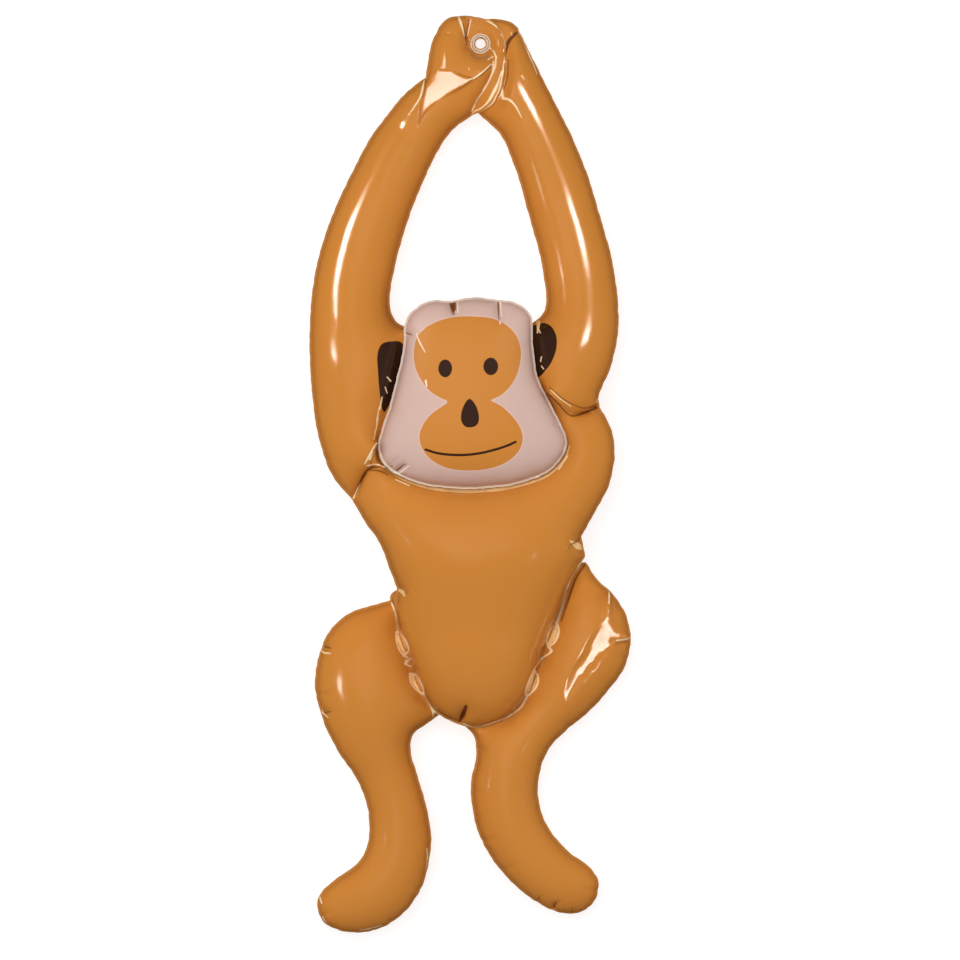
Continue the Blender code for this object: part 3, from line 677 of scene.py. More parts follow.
class Film:
    """A flat film, triangulated: its points, whether they lie in a weld, and which chart they belong to."""

    def __init__(self):
        self.spots = np.zeros((0, 2))
        self.triangles = np.zeros((0, 3), int)
        self.weld = np.zeros(0, bool)
        self.chart = np.zeros(0, int)

    def add_chart(self, outer, holes, lines, settings, zones=(), chart=0, cut=None):
        """Triangulates one stretch of film and joins it to what is there along the cut.

        outer and holes are loops with the film on their left. Where the stretch ends at a cut, outer is an
        open line of points with their inward directions, and cut is the line from its last point to its
        first. Inside the zones, loops on the film, the points lie closer together.
        """
        points, edges, weld = [], [], []

        def put(places, is_weld=False, chained=False):
            """Adds points, which edges join where they are chained, and says where the first one is."""
            first = len(points)
            points.extend(places)
            weld.extend([is_weld] * len(places))
            if chained:
                edges.extend((number, number + 1) for number in range(first, len(points) - 1))
            return first

        borders = []
        for loop, closed in [(outer, cut is None)] + [(hole, True) for hole in holes]:
            if closed:
                places, normals = loop, inward_normals(loop)
            else:
                places, normals = loop[:, :2], loop[:, 2:]
            borders.append(places)
            for depth in (0, settings.weld_width):
                first = put(places + depth * normals, True, True)
                if closed:
                    edges.append((len(points) - 1, first))
            for depth in ROW_DEPTHS:
                inner = slice(None) if closed else slice(1, -1)
                step = slice(None, None, 2 if depth > 0.002 else 1)
                line = (places + (settings.weld_width + depth) * normals)[inner][step]
                put(line[distance_to(line, places, closed) > CROWDED * (settings.weld_width + depth)])
        drawn_start = len(points)
        if cut is not None:
            first = put(cut[1:-1])
            chain = [len(outer) - 1, *range(first, first + len(cut) - 2), 0]
            edges.extend(zip(chain, chain[1:]))
        for line in lines:
            put(line, False, True)
        drawn_end = len(points)

        border = borders[0] if cut is None else np.vstack((borders[0], cut[1:-1]))
        margin = settings.weld_width + ROW_DEPTHS[-1]
        coarse = hexagonal_grid(border, settings.spacing)
        for zone in zones:
            coarse = coarse[~inside(coarse, zone)]
        grids = [(coarse, settings.spacing)]
        for number, zone in enumerate(zones):
            fine = hexagonal_grid(zone, settings.fine_spacing)
            fine = fine[inside(fine, zone)]
            for earlier in zones[:number]:
                fine = fine[~inside(fine, earlier)]
            grids.append((fine, settings.fine_spacing))
        for grid, spacing in grids:
            clear = inside(grid, border)
            from_rim = distance_to(grid[clear], borders[0], cut is None)
            clear[clear] &= from_rim > margin + WELD_CLEARANCE * spacing
            for hole in borders[1:]:
                clear[clear] &= ~inside(grid[clear], hole)
                clear[clear] &= distance_to(grid[clear], hole) > margin + WELD_CLEARANCE * spacing
            for line in lines:
                clear[clear] &= distance_to(grid[clear], line, closed=False) > LINE_CLEARANCE * spacing
            if cut is not None:
                clear[clear] &= distance_to(grid[clear], cut, closed=False) > LINE_CLEARANCE * spacing
            put(grid[clear])
        points, weld = np.array(points), np.array(weld)
        free = np.ones(len(points), bool)
        for line in lines:
            free &= distance_to(points, line, closed=False) > LINE_CLEARANCE * settings.fine_spacing
        if cut is not None:
            free &= distance_to(points, cut, closed=False) > LINE_CLEARANCE * settings.weld_spacing
        free |= weld
        free[drawn_start:drawn_end] = True
        renumbered = np.cumsum(free) - 1
        edges = [(int(renumbered[a]), int(renumbered[b])) for a, b in edges]
        points, weld = points[free], weld[free]

        found = delaunay_2d_cdt([Vector(point) for point in points], edges, [], 0, 1e-8)
        spots = np.array([tuple(spot) for spot in found[0]])
        triangles = np.array([face for face in found[2] if len(face) == 3])
        source = np.array([sources[0] if sources else -1 for sources in found[3]])
        middles = spots[triangles].mean(axis=1)
        kept = inside(middles, border)
        for hole in borders[1:]:
            kept &= ~inside(middles, hole)
        triangles = triangles[kept]
        first = len(self.spots)
        self.spots = np.vstack((self.spots, spots))
        self.triangles = np.vstack((self.triangles, triangles + first))
        self.weld = np.concatenate((self.weld, np.where(source >= 0, weld[source], False)))
        self.chart = np.concatenate((self.chart, np.full(len(spots), chart)))
        if first:
            self.join_along(cut, first)
        self.drop_unused()

    def join_along(self, cut, first):
        """Makes one point of each pair that two charts have on the cut."""
        swap = np.arange(len(self.spots))
        for place in cut:
            old = np.linalg.norm(self.spots[:first] - place, axis=1)
            new = np.linalg.norm(self.spots[first:] - place, axis=1)
            if old.min() < 10 * SAME_PLACE and new.min() < 10 * SAME_PLACE:
                swap[first + np.argmin(new)] = np.argmin(old)
        self.triangles = swap[self.triangles]

    def drop_unused(self):
        """Leaves out points that no triangle has."""
        used = np.unique(self.triangles)
        renumbered = np.full(len(self.spots), -1)
        renumbered[used] = np.arange(len(used))
        self.triangles = renumbered[self.triangles]
        for name in ("spots", "weld", "chart"):
            setattr(self, name, getattr(self, name)[used])

    def on_line(self, line):
        """The points of the film that lie on a line, in its order."""
        found = []
        for place in line:
            away = np.linalg.norm(self.spots - place, axis=1)
            if away.min() < 10 * SAME_PLACE:
                found.append(np.argmin(away))
        return np.array(found, int)

    def place_on_welds(self, rims, weld_width):
        """Sets each point's depth inside its nearest weld and its place along it.

        rims are (chart, Line, start), with the start of the line's run along all the welds.
        """
        self.depth = np.full(len(self.spots), np.inf)
        self.along = np.zeros(len(self.spots))
        for chart, rim, start in rims:
            here = np.where(self.chart == chart)[0]
            away, along = rim.nearest(self.spots[here])
            closer = away < self.depth[here]
            self.depth[here[closer]] = away[closer]
            self.along[here[closer]] = along[closer] + start
        self.depth -= weld_width


def hexagonal_grid(border, spacing):
    """Points in even rows over the border's box, every second row shifted by half a step."""
    low, high = border.min(axis=0), border.max(axis=0)
    rows = np.arange(low[1], high[1], spacing * math.sqrt(0.75))
    return np.array([(x + (number % 2) * spacing / 2, y) for number, y in enumerate(rows)
                     for x in np.arange(low[0], high[0], spacing)])


def air_lift(film, held, held_lift):
    """How far air lifts a film off its seam: a membrane under pressure, held at some points.

    The square root of the membrane's height gives a tube its round section.
    """
    spots, triangles = film.spots, film.triangles
    corners = spots[triangles]
    load = np.zeros(len(spots))
    first, second, weight = [], [], []
    side, other = corners[:, 1] - corners[:, 0], corners[:, 2] - corners[:, 0]
    doubled_area = np.maximum(np.abs(side[:, 0] * other[:, 1] - side[:, 1] * other[:, 0]), 1e-12)
    for a in range(3):
        b, c = (a + 1) % 3, (a + 2) % 3
        to_b, to_c = corners[:, b] - corners[:, a], corners[:, c] - corners[:, a]
        first.append(triangles[:, b])
        second.append(triangles[:, c])
        weight.append(np.sum(to_b * to_c, axis=1) / doubled_area / 2)
        load += np.bincount(triangles[:, a], doubled_area / 6, len(spots))
    first, second, weight = map(np.concatenate, (first, second, weight))
    diagonal = np.bincount(first, weight, len(spots)) + np.bincount(second, weight, len(spots))
    free = ~held
    scale = np.where(free, 1 / np.maximum(diagonal, 1e-9), 0.0)

    def stiffness(values):
        pull = weight * (values[first] - values[second])
        return np.bincount(first, pull, len(spots)) - np.bincount(second, pull, len(spots))

    height = np.where(held, held_lift**2 / 2, 0.0)
    rest = np.where(free, load - stiffness(height), 0.0)
    scaled = scale * rest
    step = scaled.copy()
    size = rest @ scaled
    smallest = size * SOLVER_ERROR
    for _ in range(SOLVER_STEPS):
        if size <= smallest:
            break
        pushed = np.where(free, stiffness(step), 0.0)
        reach = size / (step @ pushed)
        height = height + reach * step
        rest = rest - reach * pushed
        scaled = scale * rest
        new_size = rest @ scaled
        step = scaled + new_size / size * step
        size = new_size
    return np.sqrt(2 * np.maximum(height, 0))


def held_back(lift):
    """Film can't stretch, so a wide chamber's films rise less than a round section would."""
    return lift / np.sqrt(1 + (lift / FULLEST_LIFT) ** 2)


def before_held_back(lift):
    """The round section's lift that held_back turns into this one."""
    return lift / np.sqrt(1 - (lift / FULLEST_LIFT) ** 2)


def seam_height(along, stations):
    """Height of the seam above the floor along the figure, easing between (row, height) stations."""
    rows = grid_to_metres([(0, row) for row, _ in stations])[:, 1]
    order = np.argsort(rows)
    rows, heights = rows[order], np.array([height for _, height in stations])[order]
    place = np.clip(np.searchsorted(rows, along) - 1, 0, len(rows) - 2)
    share = ease((along - rows[place]) / (rows[place + 1] - rows[place]))
    return heights[place] + share * (heights[place + 1] - heights[place])


def hold_folds(film, folds, lift, held, held_lift):
    """Holds the film down along folds, to a share of its free lift that changes from end to end."""
    for line, (_, outer_share, inner_share) in folds:
        verts = film.on_line(line)
        shares = np.linspace(outer_share, inner_share, len(verts))
        on_weld = film.weld[verts]
        held_lift[verts] = np.where(on_weld, 0.0, shares * lift[verts])
        held[verts] = True


def make_puckers(rim, start, settings, seed):
    """Places puckers along a weld, closer together where its outline curves outwards.

    Each has its place along the weld, its width, its length into the film, its depth and its slant.
    """
    random = np.random.default_rng(seed)
    piece = np.diff(rim.points, axis=0)
    heading = np.unwrap(np.arctan2(piece[:, 1], piece[:, 0]))
    spread = np.ones(BEND_PIECES) / BEND_PIECES
    turning = np.convolve(np.pad(np.diff(heading), BEND_PIECES // 2, mode="wrap"), spread, mode="valid")
    run = rim.run[1:-1]
    bend = np.clip(turning / np.diff(rim.run)[:-1], 0, SHARPEST_BEND)
    demand = np.cumsum((1 / settings.pucker_spacing + BEND_PUCKERS * bend) * np.diff(rim.run)[:-1])
    puckers = []
    wanted = random.uniform(0.3, 1.0)
    while wanted < demand[-1]:
        place = np.interp(wanted, demand, run)
        bent = min(1, np.interp(place, run, bend) / FULL_BEND)
        strong = random.uniform(*PUCKER_STRENGTHS) * (STRAIGHT_STRENGTH + (1 - STRAIGHT_STRENGTH) * bent)
        width = random.uniform(*PUCKER_WIDTHS)
        length = random.uniform(*PUCKER_LENGTHS) * strong + SHORTEST_PUCKER
        slant = random.uniform(-STEEPEST_SLANT, STEEPEST_SLANT)
        puckers.append((start + place, width, length, settings.pucker_depth * strong, slant))
        wanted += random.uniform(*PUCKER_STEPS)
    return puckers


def pucker_share(film, puckers, twist=0.0):
    """The share of its lift that puckers leave to each point."""
    share = np.ones(len(film.spots))
    for place, width, length, depth, slant in puckers:
        beside = np.abs(film.along - place) < PUCKER_REACH * width + length
        near = np.where(beside & (film.depth < length))[0]
        inner = np.maximum(film.depth[near], 0)
        across = np.abs(film.along[near] - place - (slant + twist) * inner) / (width * (1 + inner / length))
        share[near] -= depth * np.exp(-across**ACROSS_POWER) * (1 - inner / length) ** INWARD_POWER
    return np.clip(share, LEAST_LIFT, 1.0)


def weld_waves(film, puckers, size, seed):
    """Waves of a weld's free edge, which fade inside the film and have a step at each pucker."""
    random = np.random.default_rng(seed)
    wave = np.zeros(len(film.spots))
    for length in WAVE_LENGTHS:
        wave += np.sin(2 * math.pi * film.along / length + random.uniform(0, 2 * math.pi)) / 3
    for place, width, length, depth, slant in puckers:
        wave -= 5 * depth * np.exp(-(((film.along - place) / (2.2 * width)) ** 2))
    return size * wave * np.exp(-np.maximum(film.depth, 0) / WAVE_FADE)


def near_drawn(spots, drawn, reach):
    """Points within reach of a drawn line's box, their distances to it and how far along it they are."""
    line = Line(smooth_line(drawn, STROKE_SPACING))
    low, high = line.points.min(axis=0) - reach, line.points.max(axis=0) + reach
    near = np.where(np.all((spots > low) & (spots < high), axis=1))[0]
    away, along = line.nearest(spots[near])
    return near, away, along / line.run[-1]


def stroke_gap(spots, strokes):
    """Distance of each point to the nearest stroke's edge, below zero on it and STROKE_REACH at most."""
    gap = np.full(len(spots), STROKE_REACH)
    for drawn, *halves in strokes:
        near, away, share = near_drawn(spots, drawn, 2 * STROKE_REACH)
        half = np.interp(share, np.linspace(0, 1, len(halves)), halves)
        gap[near] = np.minimum(gap[near], away - half * SQUARE)
    return gap


def clear_runs(line, clear):
    """The stretches of a line where it is clear, each of at least two points."""
    runs = np.split(np.arange(len(line)), np.where(~clear)[0])
    return [line[run[clear[run]]] for run in runs if clear[run].sum() > 1]


def stroke_lines(strokes, taken, border, settings):
    """Strokes as lines for the film's points, where they keep clear of the border and of the lines taken."""
    margin = settings.weld_width + STROKE_SPACING
    lines = list(taken)
    for drawn, *_ in strokes:
        line = smooth_line(drawn, settings.fine_spacing)
        clear = inside(line, border) & (distance_to(line, border) > margin)
        for other in lines:
            clear &= distance_to(line, other, closed=False) > STROKE_SPACING
        lines += clear_runs(line, clear)
    return lines[len(taken):]


def outward(film, rims):
    """Directions out of the film in its plane, by the nearest place on its welds."""
    away = np.zeros((len(film.spots), 2))
    best = np.full(len(film.spots), np.inf)
    for chart, rim, _ in rims:
        here = np.where(film.chart == chart)[0]
        distance, along = rim.nearest(film.spots[here])
        before, after = (np.column_stack([np.interp(along + step, rim.run, rim.points[:, axis])
                                          for axis in (0, 1)]) for step in (-0.001, 0.001))
        ahead = after - before
        ahead /= np.maximum(np.linalg.norm(ahead, axis=1), 1e-9)[:, None]
        closer = distance < best[here]
        away[here[closer]] = np.column_stack((ahead[:, 1], -ahead[:, 0]))[closer]
        best[here[closer]] = distance[closer]
    return away


def press_creases(spots, heights, creases, where):
    """Adds sharp ridges and valleys along drawn lines: (line, width, height at its start and at its end)."""
    heights = heights.copy()
    for drawn, width, first, last in creases:
        near, away, share = near_drawn(spots, drawn, CREASE_REACH * width)
        height = first + share * (last - first)
        past_ends = ease(np.minimum(share, 1 - share) / CREASE_GROWTH + CREASE_END)
        height *= past_ends * np.exp(-away / width)
        heights[near] += np.where(where[near], height, 0.0)
    return heights


def two_films(name, film, shift, top, bottom, marks):
    """A closed chamber: the flat film is extruded once, then its two sides are moved to their heights.

    shift moves each point in the film's plane. marks are numbers for each point of the front film, such as
    distances to a print's edge, each with the one number that all points of the back film have.
    """
    shape = bmesh.new()
    numbers = shape.verts.layers.int.new("number")
    corners = []
    for number, (x, y) in enumerate(film.spots + shift):
        corner = shape.verts.new((x, y, bottom[number]))
        corner[numbers] = number
        corners.append(corner)
    for triangle in film.triangles:
        shape.faces.new([corners[corner] for corner in triangle])
    lower_faces = shape.faces[:]
    made = bmesh.ops.extrude_face_region(shape, geom=lower_faces, use_keep_orig=True)
    for upper in made["geom"]:
        if isinstance(upper, bmesh.types.BMVert):
            upper.co.z = top[upper[numbers]]
            upper[numbers] += len(corners)
    bmesh.ops.recalc_face_normals(shape, faces=shape.faces[:])
    piece = to_object(name, shape)
    count = len(piece.data.vertices)
    number = np.zeros(count, int)
    piece.data.attributes["number"].data.foreach_get("value", number)
    front = number >= len(film.spots)
    for mark, (values, behind) in marks.items():
        layer = piece.data.attributes.new(mark, "FLOAT", "POINT")
        layer.data.foreach_set("value", np.where(front, values[number % len(film.spots)], behind))
    piece.data.attributes.remove(piece.data.attributes["number"])
    return piece


def to_object(name, shape, smooth=True):
    """Turns a bmesh into a named object of the scene."""
    mesh = bpy.data.meshes.new(name)
    shape.to_mesh(mesh)
    shape.free()
    if smooth:
        mesh.shade_smooth()
    piece = bpy.data.objects.new(name, mesh)
    bpy.context.collection.objects.link(piece)
    return piece


def new_material(name):
    """A new material, its node tree and its Principled shader."""
    material = bpy.data.materials.new(name)
    material.use_nodes = True
    tree = material.node_tree
    shader = tree.nodes["Principled BSDF"]
    return material, tree, shader


def math_node(tree, operation, first, second, third=None, clamp=False):
    """A Math node on sockets or numbers."""
    node = tree.nodes.new("ShaderNodeMath")
    node.operation = operation
    node.use_clamp = clamp
    for socket, value in zip(node.inputs, (first, second, third)):
        if value is None:
            continue
        if isinstance(value, (int, float)):
            socket.default_value = value
        else:
            tree.links.new(value, socket)
    return node.outputs[0]


def below(tree, mark, edge, softness=0.00012):
    """1 where an attribute's value is under the edge, with a soft border."""
    attribute = tree.nodes.new("ShaderNodeAttribute")
    attribute.attribute_name = mark
    ramp = tree.nodes.new("ShaderNodeMapRange")
    ramp.inputs["From Min"].default_value = edge + softness
    ramp.inputs["From Max"].default_value = edge - softness
    tree.links.new(attribute.outputs["Fac"], ramp.inputs["Value"])
    return ramp.outputs["Result"]


def mixed_colour(tree, share, first, second):
    """A colour between two, each a socket or a plain colour."""
    node = tree.nodes.new("ShaderNodeMix")
    node.data_type = "RGBA"
    tree.links.new(share, node.inputs["Factor"])
    for name, value in (("A", first), ("B", second)):
        socket = [slot for slot in node.inputs if slot.name == name and slot.type == "RGBA"][0]
        if isinstance(value, tuple):
            socket.default_value = (*value, 1)
        else:
            tree.links.new(value, socket)
    return [slot for slot in node.outputs if slot.type == "RGBA"][0]


def tree_noise(tree, place, scale, detail=None):
    """A noise texture on the object's own coordinates."""
    noise = tree.nodes.new("ShaderNodeTexNoise")
    noise.inputs["Scale"].default_value = scale
    if detail is not None:
        noise.inputs["Detail"].default_value = detail
    tree.links.new(place.outputs["Object"], noise.inputs["Vector"])
    return noise.outputs["Fac"]


def bump_normal(tree, height, distance):
    """A normal that follows a height."""
    bump = tree.nodes.new("ShaderNodeBump")
    bump.inputs["Distance"].default_value = distance
    tree.links.new(height, bump.inputs["Height"])
    return bump.outputs["Normal"]


def film_surface_group():
    """Shared by all films: faint unevenness of the film as a height, and its gloss and shade variation."""
    if "film_surface" in bpy.data.node_groups:
        return bpy.data.node_groups["film_surface"]
    group = bpy.data.node_groups.new("film_surface", "ShaderNodeTree")
    sockets = (("INPUT", "Roughness"), ("INPUT", "Unevenness"), ("OUTPUT", "Height"),
               ("OUTPUT", "Roughness"), ("OUTPUT", "Shade"))
    for side, name in sockets:
        group.interface.new_socket(name, in_out=side, socket_type="NodeSocketFloat")
    given = group.nodes.new("NodeGroupInput")
    out = group.nodes.new("NodeGroupOutput")
    place = group.nodes.new("ShaderNodeTexCoord")
    broad = tree_noise(group, place, 22, 1.5)
    fine = tree_noise(group, place, 120, 2)
    both = math_node(group, "MULTIPLY_ADD", fine, 0.12, broad)
    group.links.new(math_node(group, "MULTIPLY", both, given.outputs["Unevenness"]), out.inputs["Height"])
    gloss = math_node(group, "MULTIPLY_ADD", broad, 0.10, given.outputs["Roughness"])
    group.links.new(gloss, out.inputs["Roughness"])
    group.links.new(tree_noise(group, place, 9), out.inputs["Shade"])
    return group


def film_material(name, colour, weld_and_shade_colour, roughness, unevenness, print_layers, edge_light, glint_colour):
    """Welded film: darker in the doubled welds, with painted shade a few millimetres inside them; printed
    where the marks say; with painted shade in folds and painted highlights along creases.
    """
    material, tree, shader = new_material(name)
    surface = tree.nodes.new("ShaderNodeGroup")
    surface.node_tree = film_surface_group()
    surface.inputs["Roughness"].default_value = roughness
    surface.inputs["Unevenness"].default_value = unevenness
    # Darker in the weld, where the film is doubled, and as painted shade a few millimetres inside it
    near_weld = below(tree, "weld_depth", *WELD_SHADE)
    base = mixed_colour(tree, near_weld, colour, weld_and_shade_colour)
    for mark, edge, layer_colour in print_layers:
        base = mixed_colour(tree, below(tree, mark, edge), base, layer_colour)
    # Painted shade in folds and between parts
    base = mixed_colour(tree, below(tree, "dark", *PAINTED_SHADE_EDGE), base, PAINTED_SHADE_COLOUR)
    base = mixed_colour(tree, below(tree, "weld_depth", *RIM_SHADE), base, edge_light)
    # Painted highlights along creases
    base = mixed_colour(tree, below(tree, "light", *GLINT_EDGE), base, glint_colour)
    shaded = tree.nodes.new("ShaderNodeHueSaturation")
    tree.links.new(base, shaded.inputs["Color"])
    value = math_node(tree, "MULTIPLY_ADD", surface.outputs["Shade"], 0.10, 0.95)
    tree.links.new(value, shaded.inputs["Value"])
    tree.links.new(shaded.outputs["Color"], shader.inputs["Base Color"])
    tree.links.new(surface.outputs["Roughness"], shader.inputs["Roughness"])
    tree.links.new(bump_normal(tree, surface.outputs["Height"], 0.001), shader.inputs["Normal"])
    shader.inputs["IOR"].default_value = FILM_IOR
    return material


def eyelet_ring(radius, spacing):
    """A closed loop round the eyelet's centre with the film outside it."""
    centre = grid_to_metres(EYELET_CENTRE)
    count = max(16, round(2 * math.pi * radius / spacing))
    turn = -np.arange(count) * 2 * math.pi / count
    return centre + radius * np.column_stack((np.cos(turn), np.sin(turn)))


def wrist_cut(near, far, settings):
    """The line across the left wrist where the body's two charts meet, with both welds' rows of points."""
    depths = [0.0, settings.weld_width, *(settings.weld_width + depth for depth in ROW_DEPTHS)]
    from_near = [near[:2] + depth * near[2:] for depth in depths]
    from_far = [far[:2] + depth * far[2:] for depth in depths]
    gap = from_far[-1] - from_near[-1]
    steps = max(2, round(np.linalg.norm(gap) / (2 * settings.weld_spacing)))
    middle = [from_near[-1] + gap * number / steps for number in range(1, steps)]
    return np.array([*from_near, *middle, *from_far[::-1]])


def body_film(settings):
    """The body's film in two charts that meet across the left wrist, so one hand can lie over the other.

    Returns the film, its folds as (line, fold) pairs and its welds as (chart, line, start) places.
    """
    main = joined([*TORSO_LINES, ARM_LOOP], settings.weld_spacing)
    hand = joined([WRIST, FRONT_HAND_RIM, WRIST_OUTER], settings.weld_spacing)
    loop = np.vstack((main, hand))
    both = np.column_stack((loop, inward_normals(loop)))
    split = len(main)
    main_rim, hand_rim = both[:split + 1], np.vstack((both[split:], both[:1]))
    cut = wrist_cut(both[0], both[split], settings)
    barrel = (EYELET_HIGH[0] - EYELET_LOW[0]) / 2 - EYELET_FLANGE_WIDTH
    bore = eyelet_ring(barrel + CONTACT_GAP / 2, 0.0010)
    folds = [(smooth_line(fold[0], settings.weld_spacing), fold) for fold in BODY_FOLDS]
    hand_folds = [(smooth_line(fold[0], settings.weld_spacing), fold) for fold in (WRIST_FOLD,)]
    film = Film()
    lines = [line[1:] for line, _ in folds]
    strokes = BODY_SHADE_STROKES + BODY_GLINT_STROKES + BODY_CLEAR + SEAM_GLINT_STROKES + SEAM_SHADE_STROKES + SEAM_CLEAR
    lines += stroke_lines(strokes, lines, main_rim[:, :2], settings)
    film.add_chart(main_rim, [bore], lines, settings, [box_loop(box) for box in BODY_FINE], 0, cut[::-1])
    lines = [line[1:] for line, _ in hand_folds]
    lines += stroke_lines(HAND_GLINT_STROKES + HAND_SHADE_STROKES, lines, hand_rim[:, :2], settings)
    film.add_chart(hand_rim, [bore], lines, settings, [box_loop(box) for box in HAND_FINE], 1, cut)
    main_line, hand_line = Line(main_rim[:, :2]), Line(hand_rim[:, :2])
    rims = [(0, main_line, 0.0), (1, hand_line, main_line.run[-1])]
    film.place_on_welds(rims, settings.weld_width)
    return film, folds + hand_folds, rims


def weld_finish(film, rims, settings, seed):
    """Puckers and waves of a film's welds: lift shares of both sides, waves upwards and waves outwards."""
    puckers = []
    for number, (_, rim, start) in enumerate(rims):
        puckers += make_puckers(rim, start, settings, seed + number)
    front, back = pucker_share(film, puckers), pucker_share(film, puckers, BACK_TWIST)
    ripple = weld_waves(film, puckers, WAVE_UP, seed + 20)
    shift = outward(film, rims) * weld_waves(film, puckers, WAVE_OUT, seed + 40)[:, None]
    return front, back, ripple, shift


def lean_facet(spots, heights, facet, where):
    """Presses the film into one flat facet that leans to one side."""
    outline, tilt, heading, border = facet
    slope = math.tan(tilt) * np.array((math.cos(heading), math.sin(heading)))
    share = np.where(where, ease(-signed_distance(spots, smooth_line(outline, FACET_SPACING)) / border), 0.0)
    level = np.average(heights + spots @ slope, weights=share)
    return heights + share * (level - spots @ slope - heights)


def make_body(settings):
    """Blows up the body: folded at the shoulders, flat under the head, and with hands flat at the eyelet."""
    film, folds, rims = body_film(settings)
    spots = film.spots
    head = joined([HEAD], settings.spacing)
    on_hand = film.chart == 1
    from_eyelet = np.linalg.norm(spots - grid_to_metres(EYELET_CENTRE), axis=1)
    flat = from_eyelet < EYELET_FLAT
    flat |= on_hand & inside(spots, grid_to_metres(HAND_TAB))
    held = film.weld | flat
    free_lift = air_lift(film, held, np.zeros(len(spots)))
    held_lift = np.zeros(len(spots))
    hold_folds(film, folds, free_lift, held, held_lift)
    held_lift[film.weld | flat] = 0.0
    back_lift = held_back(air_lift(film, held, held_lift))

    rim_height = LEG_SEAM + HIP_PANEL_LIFT + CONTACT_GAP + settings.weld_thickness / 2
    seam = seam_height(spots[:, 1], [(HAND_ROW, HAND_SEAM), (ARM_ROW, ARM_SEAM), (CHEST_ROW, CHEST_SEAM),
                                     (WAIST_ROW, CHEST_SEAM), (HIP_ROW, rim_height)])
    under_head = inside(spots, head) & ~on_hand
    chest = CHEST_REST - CONTACT_GAP
    pressed = under_head & (seam + back_lift > chest)
    held_lift = np.where(pressed, before_held_back(np.clip(chest - seam, 0, None)), held_lift)
    front_lift = held_back(air_lift(film, held | pressed, held_lift))

    front_share, back_share, ripple, shift = weld_finish(film, rims, settings, seed=11)
    from_front_hand = signed_distance(spots, grid_to_metres(FRONT_HAND_RIM))
    press = np.where(on_hand, 1.0, 1 - HAND_PRESS * ease(1 - from_front_hand / HAND_PRESS_REACH))
    front_lift, back_lift = front_lift * press * front_share, back_lift * press * back_share
    half_weld = settings.weld_thickness / 2
    hand_gap = settings.weld_thickness + CONTACT_GAP
    parted = ease((spots[:, 1] - HANDS_PART_START) / HANDS_PART_WIDTH) * hand_gap / 2
    seam = np.where(on_hand, seam, seam - parted)
    top = seam + np.maximum(front_lift, half_weld)
    top = press_creases(spots, top, BODY_CREASES, ~on_hand & ~film.weld)
    top = np.where(under_head, np.minimum(top, chest), top)
    bottom = np.maximum(seam - np.maximum(back_lift, half_weld), FLOOR)

    back_faces = film.triangles[~on_hand[film.triangles].any(axis=1)]
    tree = BVHTree.FromPolygons([(x, y, z) for (x, y), z in zip(spots, top)], back_faces.tolist())
    over = np.full(len(spots), -1.0)
    for vert in np.where(on_hand)[0]:
        hit = tree.ray_cast(Vector((*spots[vert], 1.0)), Vector((0, 0, -1)))[0]
        if hit is not None:
            over[vert] = hit.z
    rest = smoothed(film, np.maximum(over, HAND_SEAM), on_hand, REST_SMOOTHING)
    raised = np.where(on_hand, np.maximum(rest + hand_gap, seam + hand_gap / 2), seam)
    raised = smoothed(film, raised, on_hand, RAISED_SMOOTHING)
    at_eyelet = HAND_SEAM + CONTACT_GAP
    share = ease((from_eyelet - EYELET_EASE_START) / EYELET_EASE_WIDTH)
    raised = np.where(on_hand, at_eyelet + share * (raised - at_eyelet), raised)
    raised = np.where(on_hand, np.maximum(raised, over + half_weld + CONTACT_GAP / 2), raised)
    creased = on_hand & (film.depth > -settings.weld_width / 2)
    hand_top = lean_facet(spots, raised + np.maximum(front_lift, half_weld), WRIST_FACET, on_hand)
    hand_top = press_creases(spots, hand_top, FRONT_HAND_CREASES, creased)
    hand_bottom = np.maximum(raised - np.maximum(back_lift, half_weld), over + CONTACT_GAP)
    top = np.where(on_hand, np.maximum(hand_top, raised + half_weld), top)
    bottom = np.maximum(np.where(on_hand, hand_bottom, bottom), FLOOR)

    legs = joined(LEG_LINES, settings.spacing)
    from_hips = np.where(inside(spots, legs), 0.0, distance_to(spots, legs))
    hips_top = LEG_SEAM + HIP_PANEL_LIFT + CONTACT_GAP
    over_hips = hips_top - HIP_SLOPE * np.maximum(from_hips - HIP_SLOPE_START, 0.0)
    bottom = np.where(on_hand, bottom, np.maximum(bottom, over_hips))
    top = np.maximum(top, bottom + half_weld)
    calm = from_eyelet < EYELET_CALM
    ripple = np.where(calm, 0.0, ripple)
    shift = np.where(calm[:, None], 0.0, shift)
    ear_loops = [joined([seen_at(ear, EAR_HEIGHT)], EAR_SPACING) for ear in (LEFT_EAR, RIGHT_EAR)]
    ears = np.where(on_hand, FAR, np.minimum(*(signed_distance(spots, loop) for loop in ear_loops)))
    # Painted highlights and painted shade, as distances to the edges of their strokes
    light = np.where(on_hand, stroke_gap(spots, HAND_GLINT_STROKES), stroke_gap(spots, BODY_GLINT_STROKES + SEAM_GLINT_STROKES))
    dark = np.where(on_hand, stroke_gap(spots, HAND_SHADE_STROKES), stroke_gap(spots, BODY_SHADE_STROKES + SEAM_SHADE_STROKES))
    clear = np.where(on_hand, FAR, stroke_gap(spots, SEAM_CLEAR + BODY_CLEAR))
    marks = {"weld_depth": weld_mark(film), "ear": (ears, FAR), "light": (light, FAR), "dark": (dark, FAR),
             "clear": (clear, FAR)}
    return two_films("inflated_body", film, shift, top + ripple, bottom + ripple, marks)


def weld_mark(film):
    """The depth inside the nearest weld as a mark, with the number of the back film."""
    return np.clip(film.depth, WELD_MARK_LOW, WELD_MARK_HIGH), WELD_MARK_HIGH


